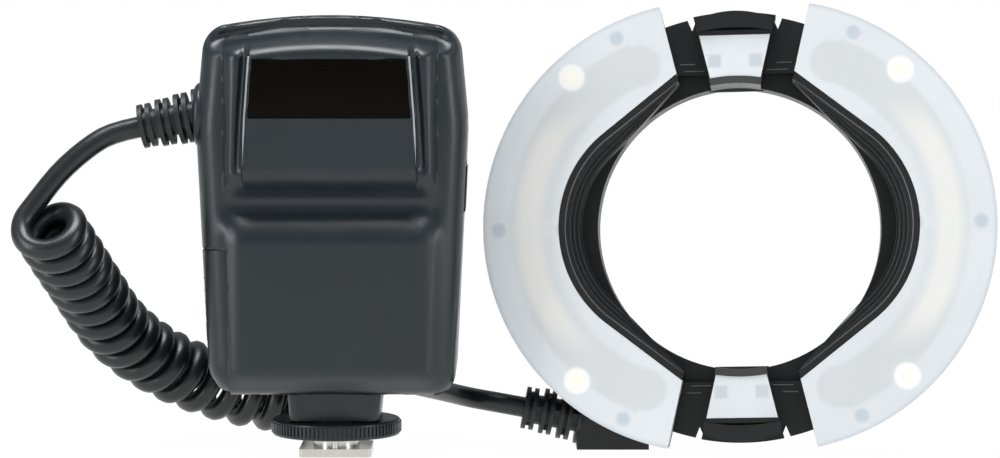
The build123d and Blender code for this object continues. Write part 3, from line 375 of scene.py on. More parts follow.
def placed(name: str, data: bpy.types.ID) -> Piece:
    """Makes an object at the origin and links it to the scene.

    Args:
        name: the object's name.
        data: its mesh, curve, camera or light.

    Returns:
        The new object.
    """
    thing = bpy.data.objects.new(name, data)
    bpy.context.scene.collection.objects.link(thing)
    return thing


def sweep(profile: Array, path: Array, side: Array, up: Array) -> Array:
    """Profile carried along a path: place = path + a * side + b * up for each profile point (a, b)."""
    side, up = (np.broadcast_to(ways, path.shape)[:, None] for ways in (side, up))
    return path[:, None] + profile[None, :, :1] * side + profile[None, :, 1:] * up


def circle(radius: float, count: int = 10) -> Array:
    """Round profile, radius * (cos, sin), closed without its repeated end."""
    turn = np.linspace(0, 2 * math.pi, count, endpoint=False)
    return radius * np.stack([np.cos(turn), np.sin(turn)], -1)


def narrowed(grid: Array, path: Array, sizes: Array) -> Array:
    """Swept grid whose rows are drawn towards the path: place = path + size * (grid - path)."""
    return path[:, None] + (grid - path[:, None]) * sizes[:, None, None]


def bar_grid(start: Array, end: Array, radius: float) -> Array:
    """Round bar between two points: circles along the line, narrowed to rounded ends by a quarter circle.

    Args:
        start: first end (3,), in millimetres.
        end: second end (3,).
        radius: the bar's radius.

    Returns:
        Grid (rows, 10, 3).
    """
    length, way = np.linalg.norm(end - start), unit(end - start)
    side = unit(np.cross(way, [0, 0, 1.0] if abs(way[2]) < 0.8 else [1.0, 0, 0]))
    turn = np.linspace(0.12, math.pi / 2, 4)
    cap = radius - radius * np.cos(turn)
    path = start + np.concatenate([cap, length - cap[::-1]])[:, None] * way
    sizes = np.concatenate([np.sin(turn), np.sin(turn)[::-1]])
    return narrowed(sweep(circle(radius), path, side, np.cross(side, way)), path, sizes)


def add_piece(name: str, grids: list[Array], material: Material,
              body: str = "unit_and_ring_frame",
              joined: bool = False) -> Piece:
    """Makes one mesh of several grids, faces it outwards and gives it its material, body and slot.

    Args:
        name: the piece's name.
        grids: arrays (u, v, 3) in metres: sleeves that close in v, with both their ends capped.
        material: the piece's finish.
        body: the body that it rides on.
        joined: whether the first grid is an open face, and the second a sleeve from a cap to its rim.

    Returns:
        The new object.
    """
    points, faces, start = [], [], 0
    for grid in grids:
        rows, columns = grid.shape[:2]
        index = start + np.arange(rows * columns).reshape(rows, columns)
        if start or not joined:
            faces += [index[row].tolist() for row in ([0] if joined else [0, -1])]
            index = np.hstack([index, index[:, :1]])
        quads = np.stack([index[:-1, :-1], index[:-1, 1:], index[1:, 1:], index[1:, :-1]], -1)
        faces += quads.reshape(-1, 4).tolist()
        points.append(grid.reshape(-1, 3))
        start += rows * columns
    mesh = bpy.data.meshes.new(name)
    mesh.from_pydata(np.vstack(points).tolist(), [], faces)
    work = bmesh.new()
    work.from_mesh(mesh)
    bmesh.ops.remove_doubles(work, verts=work.verts, dist=1e-7)
    bmesh.ops.recalc_face_normals(work, faces=work.faces)
    work.to_mesh(mesh)
    work.free()
    mesh.shade_smooth()
    mesh.set_sharp_from_angle(angle=math.radians(SHARP_ANGLE))
    mesh.materials.append(material)
    piece = placed(name, mesh)
    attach(piece, body)
    LOG.info("built %s on %s", name, body)
    return piece


# Cord


@dataclass
class CordRoute:
    """The cord's one line: out of the upper relief, through the coil and along the floor to the ring head."""

    coil_radius: float = 6.9
    turns: int = 16
    pitch: float = 5.95
    bend_pitch: float = 6.85
    bend: float = 58.0
    start_angle: float = 129.0
    end_angle: float = 49.9
    steps_per_turn: int = 2
    points_per_turn: int = 16
    coil_start: Point = (-71.6, -26.0, 61.8)
    coil_corner: Point = (-50.0, 34.9, 9.65)
    upper: tuple[Point, ...] = ((-61.2, -16.0, 81.2),)
    lower: tuple[Point, ...] = (
        (-3.4, 53.0, 15.2), (4.4, 56.2, 13.9), (12.6, 55.3, 12.6), (19.2, 50.2, 12.0), (23.6, 41.0, 12.1),
        (29.0, 28.6, 12.5), (34.6, 17.0, 12.5))
    exit_point: Point = (-48.80, -14.0, 85.66)
    exit_tilt: float = 11.0
    far_point: Point = (49.115, 12.0, 10.506)
    far_tilt: float = 10.5
    lead: float = 7.0
    stub: float = 5.4

    def _bend_start(self) -> tuple[Array, float, float]:
        """Way of the coil's straight run, angle of its bend, and length at which the bend starts."""
        span = np.array(self.coil_corner) - self.coil_start
        length = np.linalg.norm(span)
        angle = math.acos(span[0] / length)
        return span / length, angle, length - self.bend * math.tan(angle / 2)

    def axis(self, along: Array) -> tuple[Array, Array, Array]:
        """Coil axis: a straight run, an arc of the bend's radius, and a straight run along +X.

        Args:
            along: lengths along the axis, (n,).

        Returns:
            Points (n, 3), directions (n, 3) and the bend's normal (3,).
        """
        first, angle, run = self._bend_start()
        last = np.array([1.0, 0, 0])
        normal = unit(np.cross(first, last))
        inward = np.cross(normal, first)
        turn = np.clip((along - run) / self.bend, 0, angle)[:, None]
        middle = np.array(self.coil_start) + first * run + inward * self.bend
        points = middle + (-inward * np.cos(turn) + first * np.sin(turn)) * self.bend
        ways = first * np.cos(turn) + inward * np.sin(turn)
        points = points + first * np.minimum(along - run, 0)[:, None]
        points = points + last * np.maximum(along - run - self.bend * angle, 0)[:, None]
        return points, ways, normal

    def table(self) -> tuple[Array, Array]:
        """Angle and length along the axis at each half turn, the pitch being larger round the bend."""
        _, angle, run = self._bend_start()
        total = 360 * (self.turns + 1) + self.end_angle - self.start_angle
        steps = round(total / 360 * self.steps_per_turn)
        lengths = [0.0]
        for _ in range(steps):
            here = lengths[-1]
            wide = run - self.pitch < here < run + self.bend * angle
            lengths.append(here + (self.bend_pitch if wide else self.pitch) * total / steps / 360)
        return self.start_angle + np.linspace(0, total, steps + 1), np.array(lengths)

    def helix(self) -> Array:
        """Control points of the curls: axis + radius * (side * cos + up * sin), a little outside the real
        radius, because the spline runs inside its control points."""
        angles, lengths = self.table()
        count = round((angles[-1] - angles[0]) / 360 * self.points_per_turn) + 1
        turn = np.linspace(angles[0], angles[-1], count)
        points, ways, normal = self.axis(np.interp(turn, angles, lengths))
        side = np.cross(ways, -normal)
        radius = self.coil_radius / ((1 + math.cos(math.pi / self.points_per_turn)) / 2)
        spin = np.radians(turn)[:, None]
        return points + radius * (side * np.cos(spin) - normal * np.sin(spin))

    def control_points(self) -> Array:
        """Every control point of the spline, in metres."""
        curls = self.helix()
        into, out = unit(curls[1] - curls[0]), unit(curls[-1] - curls[-2])
        a, b = math.radians(self.exit_tilt), math.radians(self.far_tilt)
        leave = np.array([-math.cos(a), 0, -math.sin(a)])
        arrive = np.array([math.cos(b), 0, -math.sin(b)])
        first, last = np.array(self.exit_point), np.array(self.far_point)
        head = [first, first + leave * self.lead, *self.upper, curls[0] - into * (self.stub + self.lead),
                curls[0] - into * self.stub / 2]
        tail = [curls[-1] + out * self.stub, *self.lower, last - arrive * self.lead, last]
        return np.vstack([head, curls, tail]) * MM


@dataclass
class Cord:
    """Curly cord between the two reliefs, one unbroken spline."""

    diameter: float = 5.4
    length: float = 0.87
    route: CordRoute = field(default_factory=CordRoute)

    def build(self, material: Material) -> None:
        """Lays the spline with its control points and gives it a round section.

        Args:
            material: the cord's finish.
        """
        points = self.route.control_points()
        curve = bpy.data.curves.new("curly_cord", "CURVE")
        curve.dimensions = "3D"
        curve.bevel_depth = self.diameter / 2 * MM
        curve.bevel_resolution = 4
        curve.resolution_u = 3
        curve.use_fill_caps = True
        curve.materials.append(material)
        spline = curve.splines.new("NURBS")
        spline.points.add(len(points) - 1)
        spline.points.foreach_set("co", np.hstack([points, np.ones((len(points), 1))]).ravel())
        spline.order_u = 3
        spline.use_endpoint_u = True
        piece = placed("curly_cord", curve)
        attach(piece, "unit_and_ring_frame")
        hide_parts("cord_upper", "cord_coil", "cord_lower")
        LOG.info("built curly_cord with %d control points", len(points))


# Diffusers and lamp windows


@dataclass(frozen=True)
class DiffuserFinish:
    """Frosted diffuser: pale plastic with painted shade and painted light for the lamps, posts, tube and
    reflector behind it, each a smooth step of the distance to its middle, in millimetres in the ring's own
    plane."""

    name: str
    side: Side
    pull: float = 7.8
    colour: Colour = (0.675, 0.705, 0.725)
    # Colours and reaches of the painted shade and painted light: band, tube, holder, rim, then lamps and
    # posts.
    band_shade_grey: Colour = (0.53, 0.545, 0.535)
    band_radius: float = 45.8
    band_reach: Pair = (4.8, 6.4)
    band_slope: float = 2.475
    band_end: Pair = (16.8, 41.8)
    band_end_reach: Pair = (4.6, 6.2)
    tube_light_white: Colour = (0.755, 0.75, 0.715)
    tube_radius: float = 46.2
    tube_reach: Pair = (1.6, 4.6)
    holder_light_grey: Colour = (0.72, 0.735, 0.74)
    rim_shade_grey: Colour = (0.45, 0.50, 0.54)
    lamps: tuple[Pair, ...] = ((34.5, 39.3), (34.5, -39.3))
    lamp_light_rings: tuple[tuple[Pair, float, Colour], ...] = (
        ((3.0, 6.0), 0.3, (0.66, 0.69, 0.72)), ((2.8, 4.0), 1, (0.86, 0.86, 0.83)),
        ((0.8, 2.2), 0.8, (0.92, 0.89, 0.74)))
    posts: tuple[Pair, ...] = ((22.7, 49.2), (22.7, -49.2), (54.1, 0.0), (37.6, 0.0))
    post_shadow_rings: tuple[tuple[Pair, float, Colour], ...] = (((1.1, 2.5), 0.62, (0.42, 0.49, 0.56)),)

    def _band_shade(self, graph: Graph, plane: Socket, x: Socket, height: Socket, radius: Socket) -> Socket:
        """Painted shade over the reflector: a grey band, a ring cut off by a slanted line, with a round spot
        at each end.

        Args:
            graph: the material's graph.
            plane: place in the ring's plane.
            x: its way across.
            height: its height off the middle.
            radius: its distance to the middle.

        Returns:
            The painted shade's share.
        """
        band = graph.fade(graph.off(radius, self.band_radius), self.band_reach)
        slant = graph.maths("SUBTRACT", height, graph.maths("MULTIPLY", x, self.band_slope))
        band = graph.maths("MULTIPLY", band, graph.fade(slant, (-2.0, 2.0)))
        for turn in (1, -1):
            end = graph.away(plane, self.band_end[0], self.band_end[1] * turn)
            band = graph.maths("MAXIMUM", band, graph.fade(end, self.band_end_reach))
        return graph.maths("MULTIPLY", band, graph.ranged(height, (14.0, 36.0), (0.24, 0.5), True))

    def build(self) -> Material:
        """Makes the diffuser's material, with its painted shade and painted light.

        Returns:
            The new material.
        """
        graph = Graph(self.name)
        side = self.side.value
        plane = graph.maths("MULTIPLY", ring_plane(graph, side * self.pull), (side, 0, 1))
        clouds = graph.spread(Spread(38, 3), (0, 1), True)
        shade = graph.mixed(clouds, scaled(self.colour, 0.965), scaled(self.colour, 1.02))
        radius = graph.away(plane, 0, 0)
        axes = graph.add("ShaderNodeSeparateXYZ", {0: plane}).outputs
        height = graph.off(axes[2], 0)
        # Grey band of painted shade over the reflector.
        shade = graph.mixed(self._band_shade(graph, plane, axes[0], height, radius), shade, self.band_shade_grey)
        # Paler band of painted light over the flash tube behind the diffuser.
        tube = graph.fade(graph.off(radius, self.tube_radius), self.tube_reach)
        tube = graph.maths("MULTIPLY", tube, graph.fade(height, (22.0, 34.0), 0.85))
        shade = graph.mixed(tube, shade, self.tube_light_white)
        # Lamps: a warm spot of painted light in a faint ring of painted shade; posts: round spots of painted
        # shade.
        for places, rings in ((self.lamps, self.lamp_light_rings), (self.posts, self.post_shadow_rings)):
            for place in places:
                away = graph.away(plane, *place)
                for reach, share, colour in rings:
                    shade = graph.mixed(graph.fade(away, reach, share), shade, colour)
        # Faint paler ring of painted light over the lamp holder behind the diffuser.
        holder = graph.maths("MULTIPLY", graph.ranged(radius, (38.5, 39.5), (0, 1), True),
                             graph.fade(radius, (50.0, 51.0)))
        holder = graph.maths("MULTIPLY", holder, graph.fade(height, (1.6, 2.3), 0.3))
        shade = graph.mixed(holder, shade, self.holder_light_grey)
        # Darker rim of painted shade along the diffuser's outer edge.
        shade = graph.mixed(graph.ranged(radius, (56.9, 58.1), (0, 0.5), True), shade, self.rim_shade_grey)
        rough = graph.spread(Spread(120, 3), (0.42, 0.55))
        fill(graph.shader, {
            "Base Color": shade, "Roughness": rough, "Specular IOR Level": 0.35, "Alpha": 0.96,
            "Subsurface Weight": 0.25, "Subsurface Radius": (0.004, 0.004, 0.0045)})
        graph.bump([(graph.noise(4200, 2), 0.12, 0.00005), (graph.noise(70, 2), 0.05, 0.0005)])
        return graph.material


@dataclass(frozen=True)
class WindowFinish:
    """Pale translucent lamp window, with soft grey squares of painted shade where the lamps behind it would
    darken it, in millimetres.
    """

    name: str
    colour: Colour = (0.70, 0.73, 0.75)
    lamp_shade_square: Colour = (0.48, 0.53, 0.58)
    middle: Pair = (5.3, 42.7)
    reach: Pair = (1.1, 2.2)

    def build(self) -> Material:
        """Makes the window's material.

        Returns:
            The new material.
        """
        graph = Graph(self.name)
        clouds = graph.spread(Spread(45, 2), (0, 1), True)
        shade = graph.mixed(clouds, scaled(self.colour, 0.95), scaled(self.colour, 1.06))
        axes = graph.add("ShaderNodeSeparateXYZ", {0: ring_plane(graph)}).outputs
        across, upward = (graph.off(graph.off(axes[way], 0), at) for way, at in zip((0, 2), self.middle))
        # Grey squares of painted shade over the lamps behind the window.
        lamp_shade_square = graph.fade(graph.maths("MAXIMUM", across, upward), self.reach, 0.7)
        fill(graph.shader, {
            "Base Color": graph.mixed(lamp_shade_square, shade, self.lamp_shade_square), "Alpha": 0.95,
            "Roughness": graph.spread(Spread(150, 2), (0.28, 0.4)),
            "Subsurface Weight": 0.2, "Subsurface Radius": (0.003, 0.003, 0.0034)})
        graph.bump([(graph.noise(4000, 2), 0.1, 0.00005)])
        return graph.material


# Stage, light and camera


@dataclass
class Studio:
    """Floor, soft lights and the camera of the photograph, whose target and distance are in millimetres."""

    target: Point = (42.74, 0.0, 58.64)
    distance: float = 760.0
    pitch: float = 3.5
    focal_pixels: float = 2918.0
    width: int = 1000
    sensor: float = 36.0
    floor_edge: float = 6.0
    floor_white: float = 1.04
    floor_share: float = 0.94
    world_light: float = 0.40
    aim: Point = (0.045, 0, 0.06)

    def camera(self) -> None:
        """Places the camera: it looks at the target from a little above, with no shift."""
        pitch = math.radians(self.pitch)
        data = bpy.data.cameras.new("photo_camera")
        data.sensor_width = self.sensor
        data.lens = self.focal_pixels / self.width * self.sensor
        data.clip_end = 50
        camera = placed("photo_camera", data)
        away = np.array([0, -math.cos(pitch), math.sin(pitch)]) * self.distance
        camera.location = Vector((np.array(self.target) + away) * MM)
        camera.rotation_euler = (math.pi / 2 - pitch, 0, 0)
        bpy.context.scene.camera = camera

    def _whiten(self, tree: Tree, output: str, kinds: tuple[str, ...], share: float,
                shaders: tuple[Node, Node]) -> None:
        """Shows one shader to some kinds of ray, and another to the rest.

        Args:
            tree: the floor's or the world's nodes.
            output: type of the output node.
            kinds: kinds of ray that see the second shader.
            share: how much of it they see.
            shaders: the two shaders.
        """
        rays = tree.add("ShaderNodeLightPath", {}).outputs
        seen = rays[kinds[0]]
        for kind in kinds[1:]:
            seen = tree.maths("MAXIMUM", seen, rays[kind])
        plain, white = (shader.outputs[0] for shader in shaders)
        seen = tree.maths("MULTIPLY", seen, share)
        mix = tree.add("ShaderNodeMixShader", {0: seen, 1: plain, 2: white})
        tree.add(output, {"Surface": mix.outputs[0]})

    def floor(self) -> None:
        """Pale floor under the object, white to the camera apart from the object's soft shadow."""
        mesh = bpy.data.meshes.new("floor")
        corners = np.array([(-1, -1, 0), (1, -1, 0), (1, 1, 0), (-1, 1, 0)]) * self.floor_edge
        mesh.from_pydata(corners.tolist(), [], [(0, 1, 2, 3)])
        piece = placed("floor", mesh)
        material = bpy.data.materials.new("pale_floor")
        tree = Tree(material)
        plain = tree.add("ShaderNodeBsdfDiffuse", {"Color": (0.9, 0.9, 0.9, 1)})
        white = tree.add("ShaderNodeEmission", {"Color": WHITE, "Strength": self.floor_white})
        kinds = ("Is Camera Ray", "Is Glossy Ray", "Is Transmission Ray")
        self._whiten(tree, "ShaderNodeOutputMaterial", kinds, self.floor_share, (plain, white))
        mesh.materials.append(material)

    def world(self) -> None:
        """Even grey surroundings for light, white where the camera or glass sees them."""
        world = bpy.data.worlds.new("studio")
        bpy.context.scene.world = world
        tree = Tree(world)
        dim = tree.add("ShaderNodeBackground", {"Color": (0.93, 0.96, 1.0, 1), "Strength": self.world_light})
        white = tree.add("ShaderNodeBackground", {"Color": WHITE})
        self._whiten(tree, "ShaderNodeOutputWorld", ("Is Camera Ray", "Is Transmission Ray"), 1, (dim, white))

    def lamp(self, name: str, place: Point, size: Pair, power: float) -> None:
        """Soft rectangular lamp that faces the object.

        Args:
            name: the lamp's name.
            place: where it stands, in metres.
            size: width and height in metres.
            power: watts.
        """
        data = bpy.data.lights.new(name, "AREA")
        data.shape = "RECTANGLE"
        data.size, data.size_y = size
        data.energy = power
        lamp = placed(name, data)
        lamp.location = place
        lamp.rotation_euler = (Vector(self.aim) - Vector(place)).to_track_quat("-Z", "Y").to_euler()

    def build(self) -> None:
        """Sets up the stage, with plain view settings."""
        bpy.context.scene.view_settings.view_transform = "Standard"
        self.camera()
        self.floor()
        self.world()
        self.lamp("over_light", (0.0, -0.14, 0.95), (0.7, 0.4), 9.4)
        self.lamp("left_light", (-0.85, -0.55, 0.36), (0.2, 0.8), 3.8)
        self.lamp("right_light", (1.0, -0.5, 0.38), (0.22, 0.8), 3.0)


# Control unit housing


def smooth_step(value: Array, low: float, high: float) -> Array:
    """Rises smoothly from nought at low to one at high, 3t^2 - 2t^3 of the share between them."""
    t = np.clip((value - low) / (high - low), 0, 1)
    return t * t * (3 - 2 * t)


def smooth_fall(value: Array, low: float, high: float) -> Array:
    """Falls smoothly from one at low to nought at high."""
    return 1 - smooth_step(value, low, high)


def soft_min(first: Array, second: Array, blend: float) -> Array:
    """Smaller of two heights, rounded over a blend where they cross: the quadratic smooth minimum."""
    share = np.clip(0.5 + 0.5 * (second - first) / blend, 0, 1)
    return second * (1 - share) + first * share - blend * share * (1 - share)


@dataclass
class BodyOutline:
    """Front outline of the housing, in millimetres: straight flanks, rounded corners and an arched top."""

    low: float = 17.5
    low_half: float = 26.0
    low_flank: float = 31.2
    low_corner_z: float = 22.8
    crown_z: float = 111.6
    crown_half: float = 26.2
    crown_flank: float = 32.1
    crown_corner_z: float = 105.0
    top: float = 114.0
    lift_z: float = 88.0
    widest: float = 34.4
    flank: tuple[Pair, ...] = (
        (16.0, 31.1), (22.0, 31.4), (84.0, 34.35), (88.0, 34.25), (106.0, 32.6), (112.0, 32.1))
    row_step: float = 0.45
    columns: tuple[Point, ...] = ((0.6, 18.4, 0.6), (18.4, 24.0, 0.24), (24.0, 34.4, 0.4))

    def half(self, z: Array) -> Array:
        """Half width at each height: the flank's line less a quarter ellipse at each corner."""
        half = np.interp(z, *np.array(self.flank).T)
        for corner, end, cut in ((self.low_corner_z, self.low, self.low_flank - self.low_half),
                                 (self.crown_corner_z, self.crown_z, self.crown_flank - self.crown_half)):
            share = np.clip((z - corner) / (end - corner), 0, 1)
            half -= cut * (1 - np.sqrt(1 - share**2))
        return half

    def grid(self) -> tuple[Array, Array]:
        """X and Z of the face's grid: rows follow the heights, closer at the corners, the upper ones bent up
        to the arch, a parabola; columns are shares of the half width, closer at the panel's edges.

        Returns:
            Two arrays (rows, columns).
        """
        turn = np.linspace(0, math.pi / 2, 14)[:-1]
        low = self.low + (self.low_corner_z - self.low) * (1 - np.cos(turn))
        high = self.crown_corner_z + (self.crown_z - self.crown_corner_z) * np.cos(turn)
        middle = np.arange(self.low_corner_z, self.crown_corner_z, self.row_step)
        z = np.concatenate([low, middle, high[::-1]])
        side = np.concatenate([*(np.arange(*stretch) for stretch in self.columns), [self.widest]])
        share = np.concatenate([-side[::-1], [0], side]) / self.widest
        rise = (self.top - self.crown_z) * (1 - share**2)
        lift = smooth_step(z, self.lift_z, self.crown_z)[:, None] * rise[None]
        return self.half(z)[:, None] * share[None], z[:, None] + lift


@dataclass
class HousingSkin:
    """Rear skin of the housing, in millimetres: a flat face with rounded edges, seats for pane, switch,
    screws and buttons, an oval line round the buttons, and a flank back to the seam."""

    name: str = "rear_skin"
    nodes: tuple[str, ...] = ("rear_shell", "top_cover")
    base: float = 28.0
    sign: float = 1.0
    outline: BodyOutline = field(default_factory=BodyOutline)
    seam_y: float = 2.0
    edge_round: float = 7.0
    hollow_fade: Pair = (-1.0, 0.0)
    proud_fade: Pair = (1.5, 7.0)
    flank_rows: int = 34
    door_seat: float = 1.1
    door_flank: Point = (31.4, 22.0, 3 / 64)
    door_width: float = 26.2
    door_top: Pair = (54.55, 54.85)
    door_back: Pair = (12.1, 12.4)
    cover_seat: float = 1.4
    cover_middle: Point = (30.0, 4.75, 69.5)
    cover_half_y: Pair = (14.15, 14.45)
    cover_half_z: Pair = (6.2, 6.5)
    spine: Pair = (30.0, 90.0)
    pane: tuple[Pair, float, Pair, float] = ((20.2, 20.5), 88.5, (12.6, 12.9), 1.6)
    switch: tuple[Pair, float, Pair, float] = ((8.6, 9.2), 36.0, (2.4, 2.9), 0.7)
    screws: tuple[Pair, ...] = ((-24, 100), (24, 100), (24, 26))
    buttons: tuple[Pair, ...] = ((-16, 64), (0, 64), (16, 64), (-8, 50), (8, 50))
    oval: Pair = (24.5, 12.5)
    oval_z: float = 57.0

    def _form(self, x: Array, z: Array) -> Array:
        """How far the face stands off the base: it falls in at the borders of the seats.

        Args:
            x: place across.
            z: height.

        Returns:
            The form at each point.
        """
        side = np.abs(x)
        form = np.zeros_like(x)
        for half, middle, rise, sunk in (self.pane, self.switch):
            border = smooth_step(side, *half) + smooth_step(np.abs(z - middle), *rise)
            form -= sunk * (1 - np.clip(border, 0, 1))
        for places, reach, sunk in ((self.screws, (2.6, 2.9), 1.4), (self.buttons, (3.8, 4.2), 0.8)):
            for place in places:
                form -= sunk * smooth_fall(np.hypot(x - place[0], z - place[1]), *reach)
        line = np.abs(np.hypot(side / self.oval[0], (z - self.oval_z) / self.oval[1]) - 1)
        return form - 0.25 * smooth_fall(line, 0.008, 0.022)

    def grids(self) -> list[Array]:
        """Face and flank of the skin. The face is the base less a quarter circle of the distance to the
        outline, plus the form, whose hollows and raised parts fade in from there.

        Returns:
            Face grid (rows, columns, 3) and flank grid (rows, loop, 3), in metres.
        """
        x, z = self.outline.grid()
        plane = np.stack([x, z], -1)
        loop = np.vstack([plane[0, :-1], plane[:-1, -1], plane[-1, :0:-1], plane[:0:-1, 0]])
        near = [np.sqrt(((row[:, None] - loop[None]) ** 2).sum(-1).min(1)) for row in plane]
        away = np.clip(near, 0, self.edge_round)
        edge = self.edge_round - np.sqrt(np.maximum(self.edge_round**2 - (self.edge_round - away) ** 2, 0))
        form = self._form(x, z)
        hollow = np.minimum(form, 0) * smooth_step(away, *self.hollow_fade)
        proud = np.maximum(form, 0) * smooth_step(away, *self.proud_fade)
        face = np.stack([x, self.sign * (self.base - edge + proud + hollow), z], -1)
        y = np.linspace(self.seam_y, self.sign * (self.base - self.edge_round), self.flank_rows)[:, None]
        flank = np.stack(np.broadcast_arrays(loop[None, :, 0], y, loop[None, :, 1]), -1)
        return [self._recessed(face) * MM, self._recessed(flank) * MM]

    def _recessed(self, points: Array) -> Array:
        """Sinks the skin under the battery door and the socket cover, each towards the housing's spine.

        Args:
            points: array (..., 3).

        Returns:
            The points in their new places.
        """
        x, y, z = np.moveaxis(points, -1, 0)
        line = self.door_flank[0] + (z - self.door_flank[1]) * self.door_flank[2]
        width = line - self.door_width
        door = smooth_fall(z, *self.door_top) * smooth_fall(line + x, width - 0.1, width + 0.2)
        door = door * smooth_fall(y, *self.door_back) * (x < 0)
        edge, middle_y, middle_z = self.cover_middle
        cover = smooth_fall(np.abs(y - middle_y), *self.cover_half_y) * (x > edge)
        cover = cover * smooth_fall(np.abs(z - middle_z), *self.cover_half_z)
        spine = np.stack([np.zeros_like(x), np.full_like(y, self.seam_y), np.clip(z, *self.spine)], -1)
        return points + unit(spine - points) * (self.door_seat * door + self.cover_seat * cover)[..., None]

    def build(self, material: Material) -> None:
        """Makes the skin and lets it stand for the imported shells."""
        piece = add_piece(self.name, self.grids(), material, joined=True)
        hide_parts(*self.nodes)


@dataclass
class FrontSkin(HousingSkin):
    """Front skin: a raised window panel between two grooves and two rounded cheeks, a crest with the top
    sloping away from it, and the lower pad."""

    name: str = "front_skin"
    nodes: tuple[str, ...] = ("front_shell",)
    base: float = 25.0
    sign: float = -1.0
    hollow_fade: Pair = (0.0, 5.0)
    cheek_x: float = 22.4
    cheek_round: float = 4.6
    cheek_rise: float = 3.4
    cheek_low: Pair = (66.8, 74.5)
    panel_z: Point = (74.0, 88.4, 102.6)
    panel_half: Point = (21.6, 20.9, 19.8)
    panel_rise: float = 1.6
    panel_low: Pair = (69.5, 75.5)
    groove_depth: float = 1.1
    groove_low: Pair = (73.0, 77.0)
    hollow_depth: float = 1.6
    hollow_z: float = 66.2
    hollow_half: Pair = (22.0, 29.0)
    pad_rise: float = 3.0
    pad_top: Pair = (56.5, 66.0)
    pad_half: Pair = (22.0, 30.0)
    window_depth: float = 0.45
    window_low: Pair = (88.05, 88.25)
    window_top: Pair = (102.7, 102.9)
    crest_z: float = 106.2
    crest: float = 5.0
    crest_bow: float = 0.0042
    top_slope: float = 2.1
    top_blend: float = 4.2

    def _form(self, x: Array, z: Array) -> Array:
        """How far the face stands off the base: the sum of its forms, cut by the top's slope.

        Args:
            x: place across.
            z: height.

        Returns:
            The form at each point.
        """
        side = np.abs(x)
        turn = np.clip(side - self.cheek_x, 0, self.cheek_round - 0.1)
        drop = self.cheek_round - np.sqrt(self.cheek_round**2 - turn**2)
        cheek = (self.cheek_rise - np.minimum(drop, self.cheek_rise)) * smooth_step(z, *self.cheek_low)
        width = np.interp(z, self.panel_z, self.panel_half)
        panel = self.panel_rise * smooth_fall(side, width, width + 0.55) * smooth_step(z, *self.panel_low)
        groove = np.exp(-(((side - width - 1.7) / 0.9) ** 2)) * smooth_step(z, *self.groove_low)
        hollow = np.exp(-(((z - self.hollow_z) / 3.6) ** 2)) * smooth_fall(side, *self.hollow_half)
        pad = self.pad_rise * smooth_fall(z, *self.pad_top) * smooth_fall(side, *self.pad_half)
        window = smooth_fall(side, width - 0.75, width - 0.55) * smooth_step(z, *self.window_low)
        window = self.window_depth * window * smooth_fall(z, *self.window_top)
        form = cheek + panel + pad - window - self.groove_depth * groove - self.hollow_depth * hollow
        slope = self.crest - (z - self.crest_z + self.crest_bow * x * x) * self.top_slope
        return soft_min(form, slope, self.top_blend)


# Ring head details


@dataclass
class InnerRibs:
    """Fine ribs on the stepped inner wall of a half, and the rim where the wall meets the diffuser, whose
    pale grey is painted highlight.

    Each size says how far the rib is drawn in, how deep it sits on its step, and its radius, in millimetres.
    """

    side: Side
    pull: float = 7.8
    arc: float = 29.4
    arc_x: float = 7.3
    span: float = 50.0
    corner: Pair = (6.9, 37.6)
    front_y: float = -13.1
    steps: int = 4
    step_depth: float = 1.6
    ribs: tuple[Point, ...] = ((0.3, 0.02, 0.13), (0.75, 0.02, 0.13))
    rim: Point = (0.06, 0.05, 0.11)
    lip: Point = (-0.15, 0.12, 0.2)

    def _rib(self, step: int, size: Point) -> Array:
        """Round profile carried along a straight run, the side arc and a straight run round the opening.

        Args:
            step: number of the wall's step.
            size: the rib's size.

        Returns:
            Grid (rows, 8, 3), in metres.
        """
        inset, sunk, radius = size
        reach = self.arc - step - inset
        turn = np.radians(np.linspace(self.span, -self.span, 61))
        arc = np.stack([self.arc_x + reach * np.cos(turn), reach * np.sin(turn)], -1)
        share = np.linspace(0.03, 1, 22)[:-1, None]
        top = np.array(self.corner) + share * (arc[0] - np.array(self.corner))
        plane = np.vstack([top, arc, top[::-1] * [1, -1]])
        way = unit(np.gradient(plane, axis=0))
        y = np.full(len(plane), self.front_y + step * self.step_depth + sunk)
        mirror = np.array([self.side.value, 1, 1])
        points = np.stack([plane[:, 0] + self.pull, y, plane[:, 1]], -1) * mirror
        normals = np.stack([way[:, 1], np.zeros(len(way)), -way[:, 0]], -1) * mirror
        return RING_FRAME.world(sweep(circle(radius, 8), points, normals, np.array([0, -1.0, 0])))

    def build(self, dark: Material, pale: Material) -> None:
        """Makes the ribs, and the rim with its lip.

        Args:
            dark: finish of the ribs.
            pale: finish of the rim and lip, a pale grey that paints their highlight.
        """
        side = self.side.name.lower()
        ribs = [self._rib(step, size) for step in range(self.steps) for size in self.ribs]
        rims = [self._rib(step, self.rim) for step in range(1, self.steps)]
        add_piece(f"{side}_wall_ribs", ribs, dark, f"{side}_half")
        # Rims and lip in pale grey: painted highlight.
        add_piece(f"{side}_wall_rim", [*rims, self._rib(0, self.lip)], pale, f"{side}_half")


@dataclass
class BridgeLines:
    """Short raised lines on the black strips beside the lamp windows, in millimetres."""

    level: Level
    front_y: float = -1.5
    rows: tuple[Point, ...] = ((41.2, 8.0, 13.4), (43.0, 10.6, 14.6))
    radius: float = 0.16

    def build(self, material: Material) -> None:
        """Makes the lines of one bridge."""
        grids = []
        for height, *reach in self.rows:
            for side in (-1, 1):
                start, end = (np.array([side * x, self.front_y, height * self.level.value]) for x in reach)
                grids.append(RING_FRAME.world(bar_grid(start, end, self.radius)))
        add_piece(f"bridge_lines_{self.level.name.lower()}", grids, material)


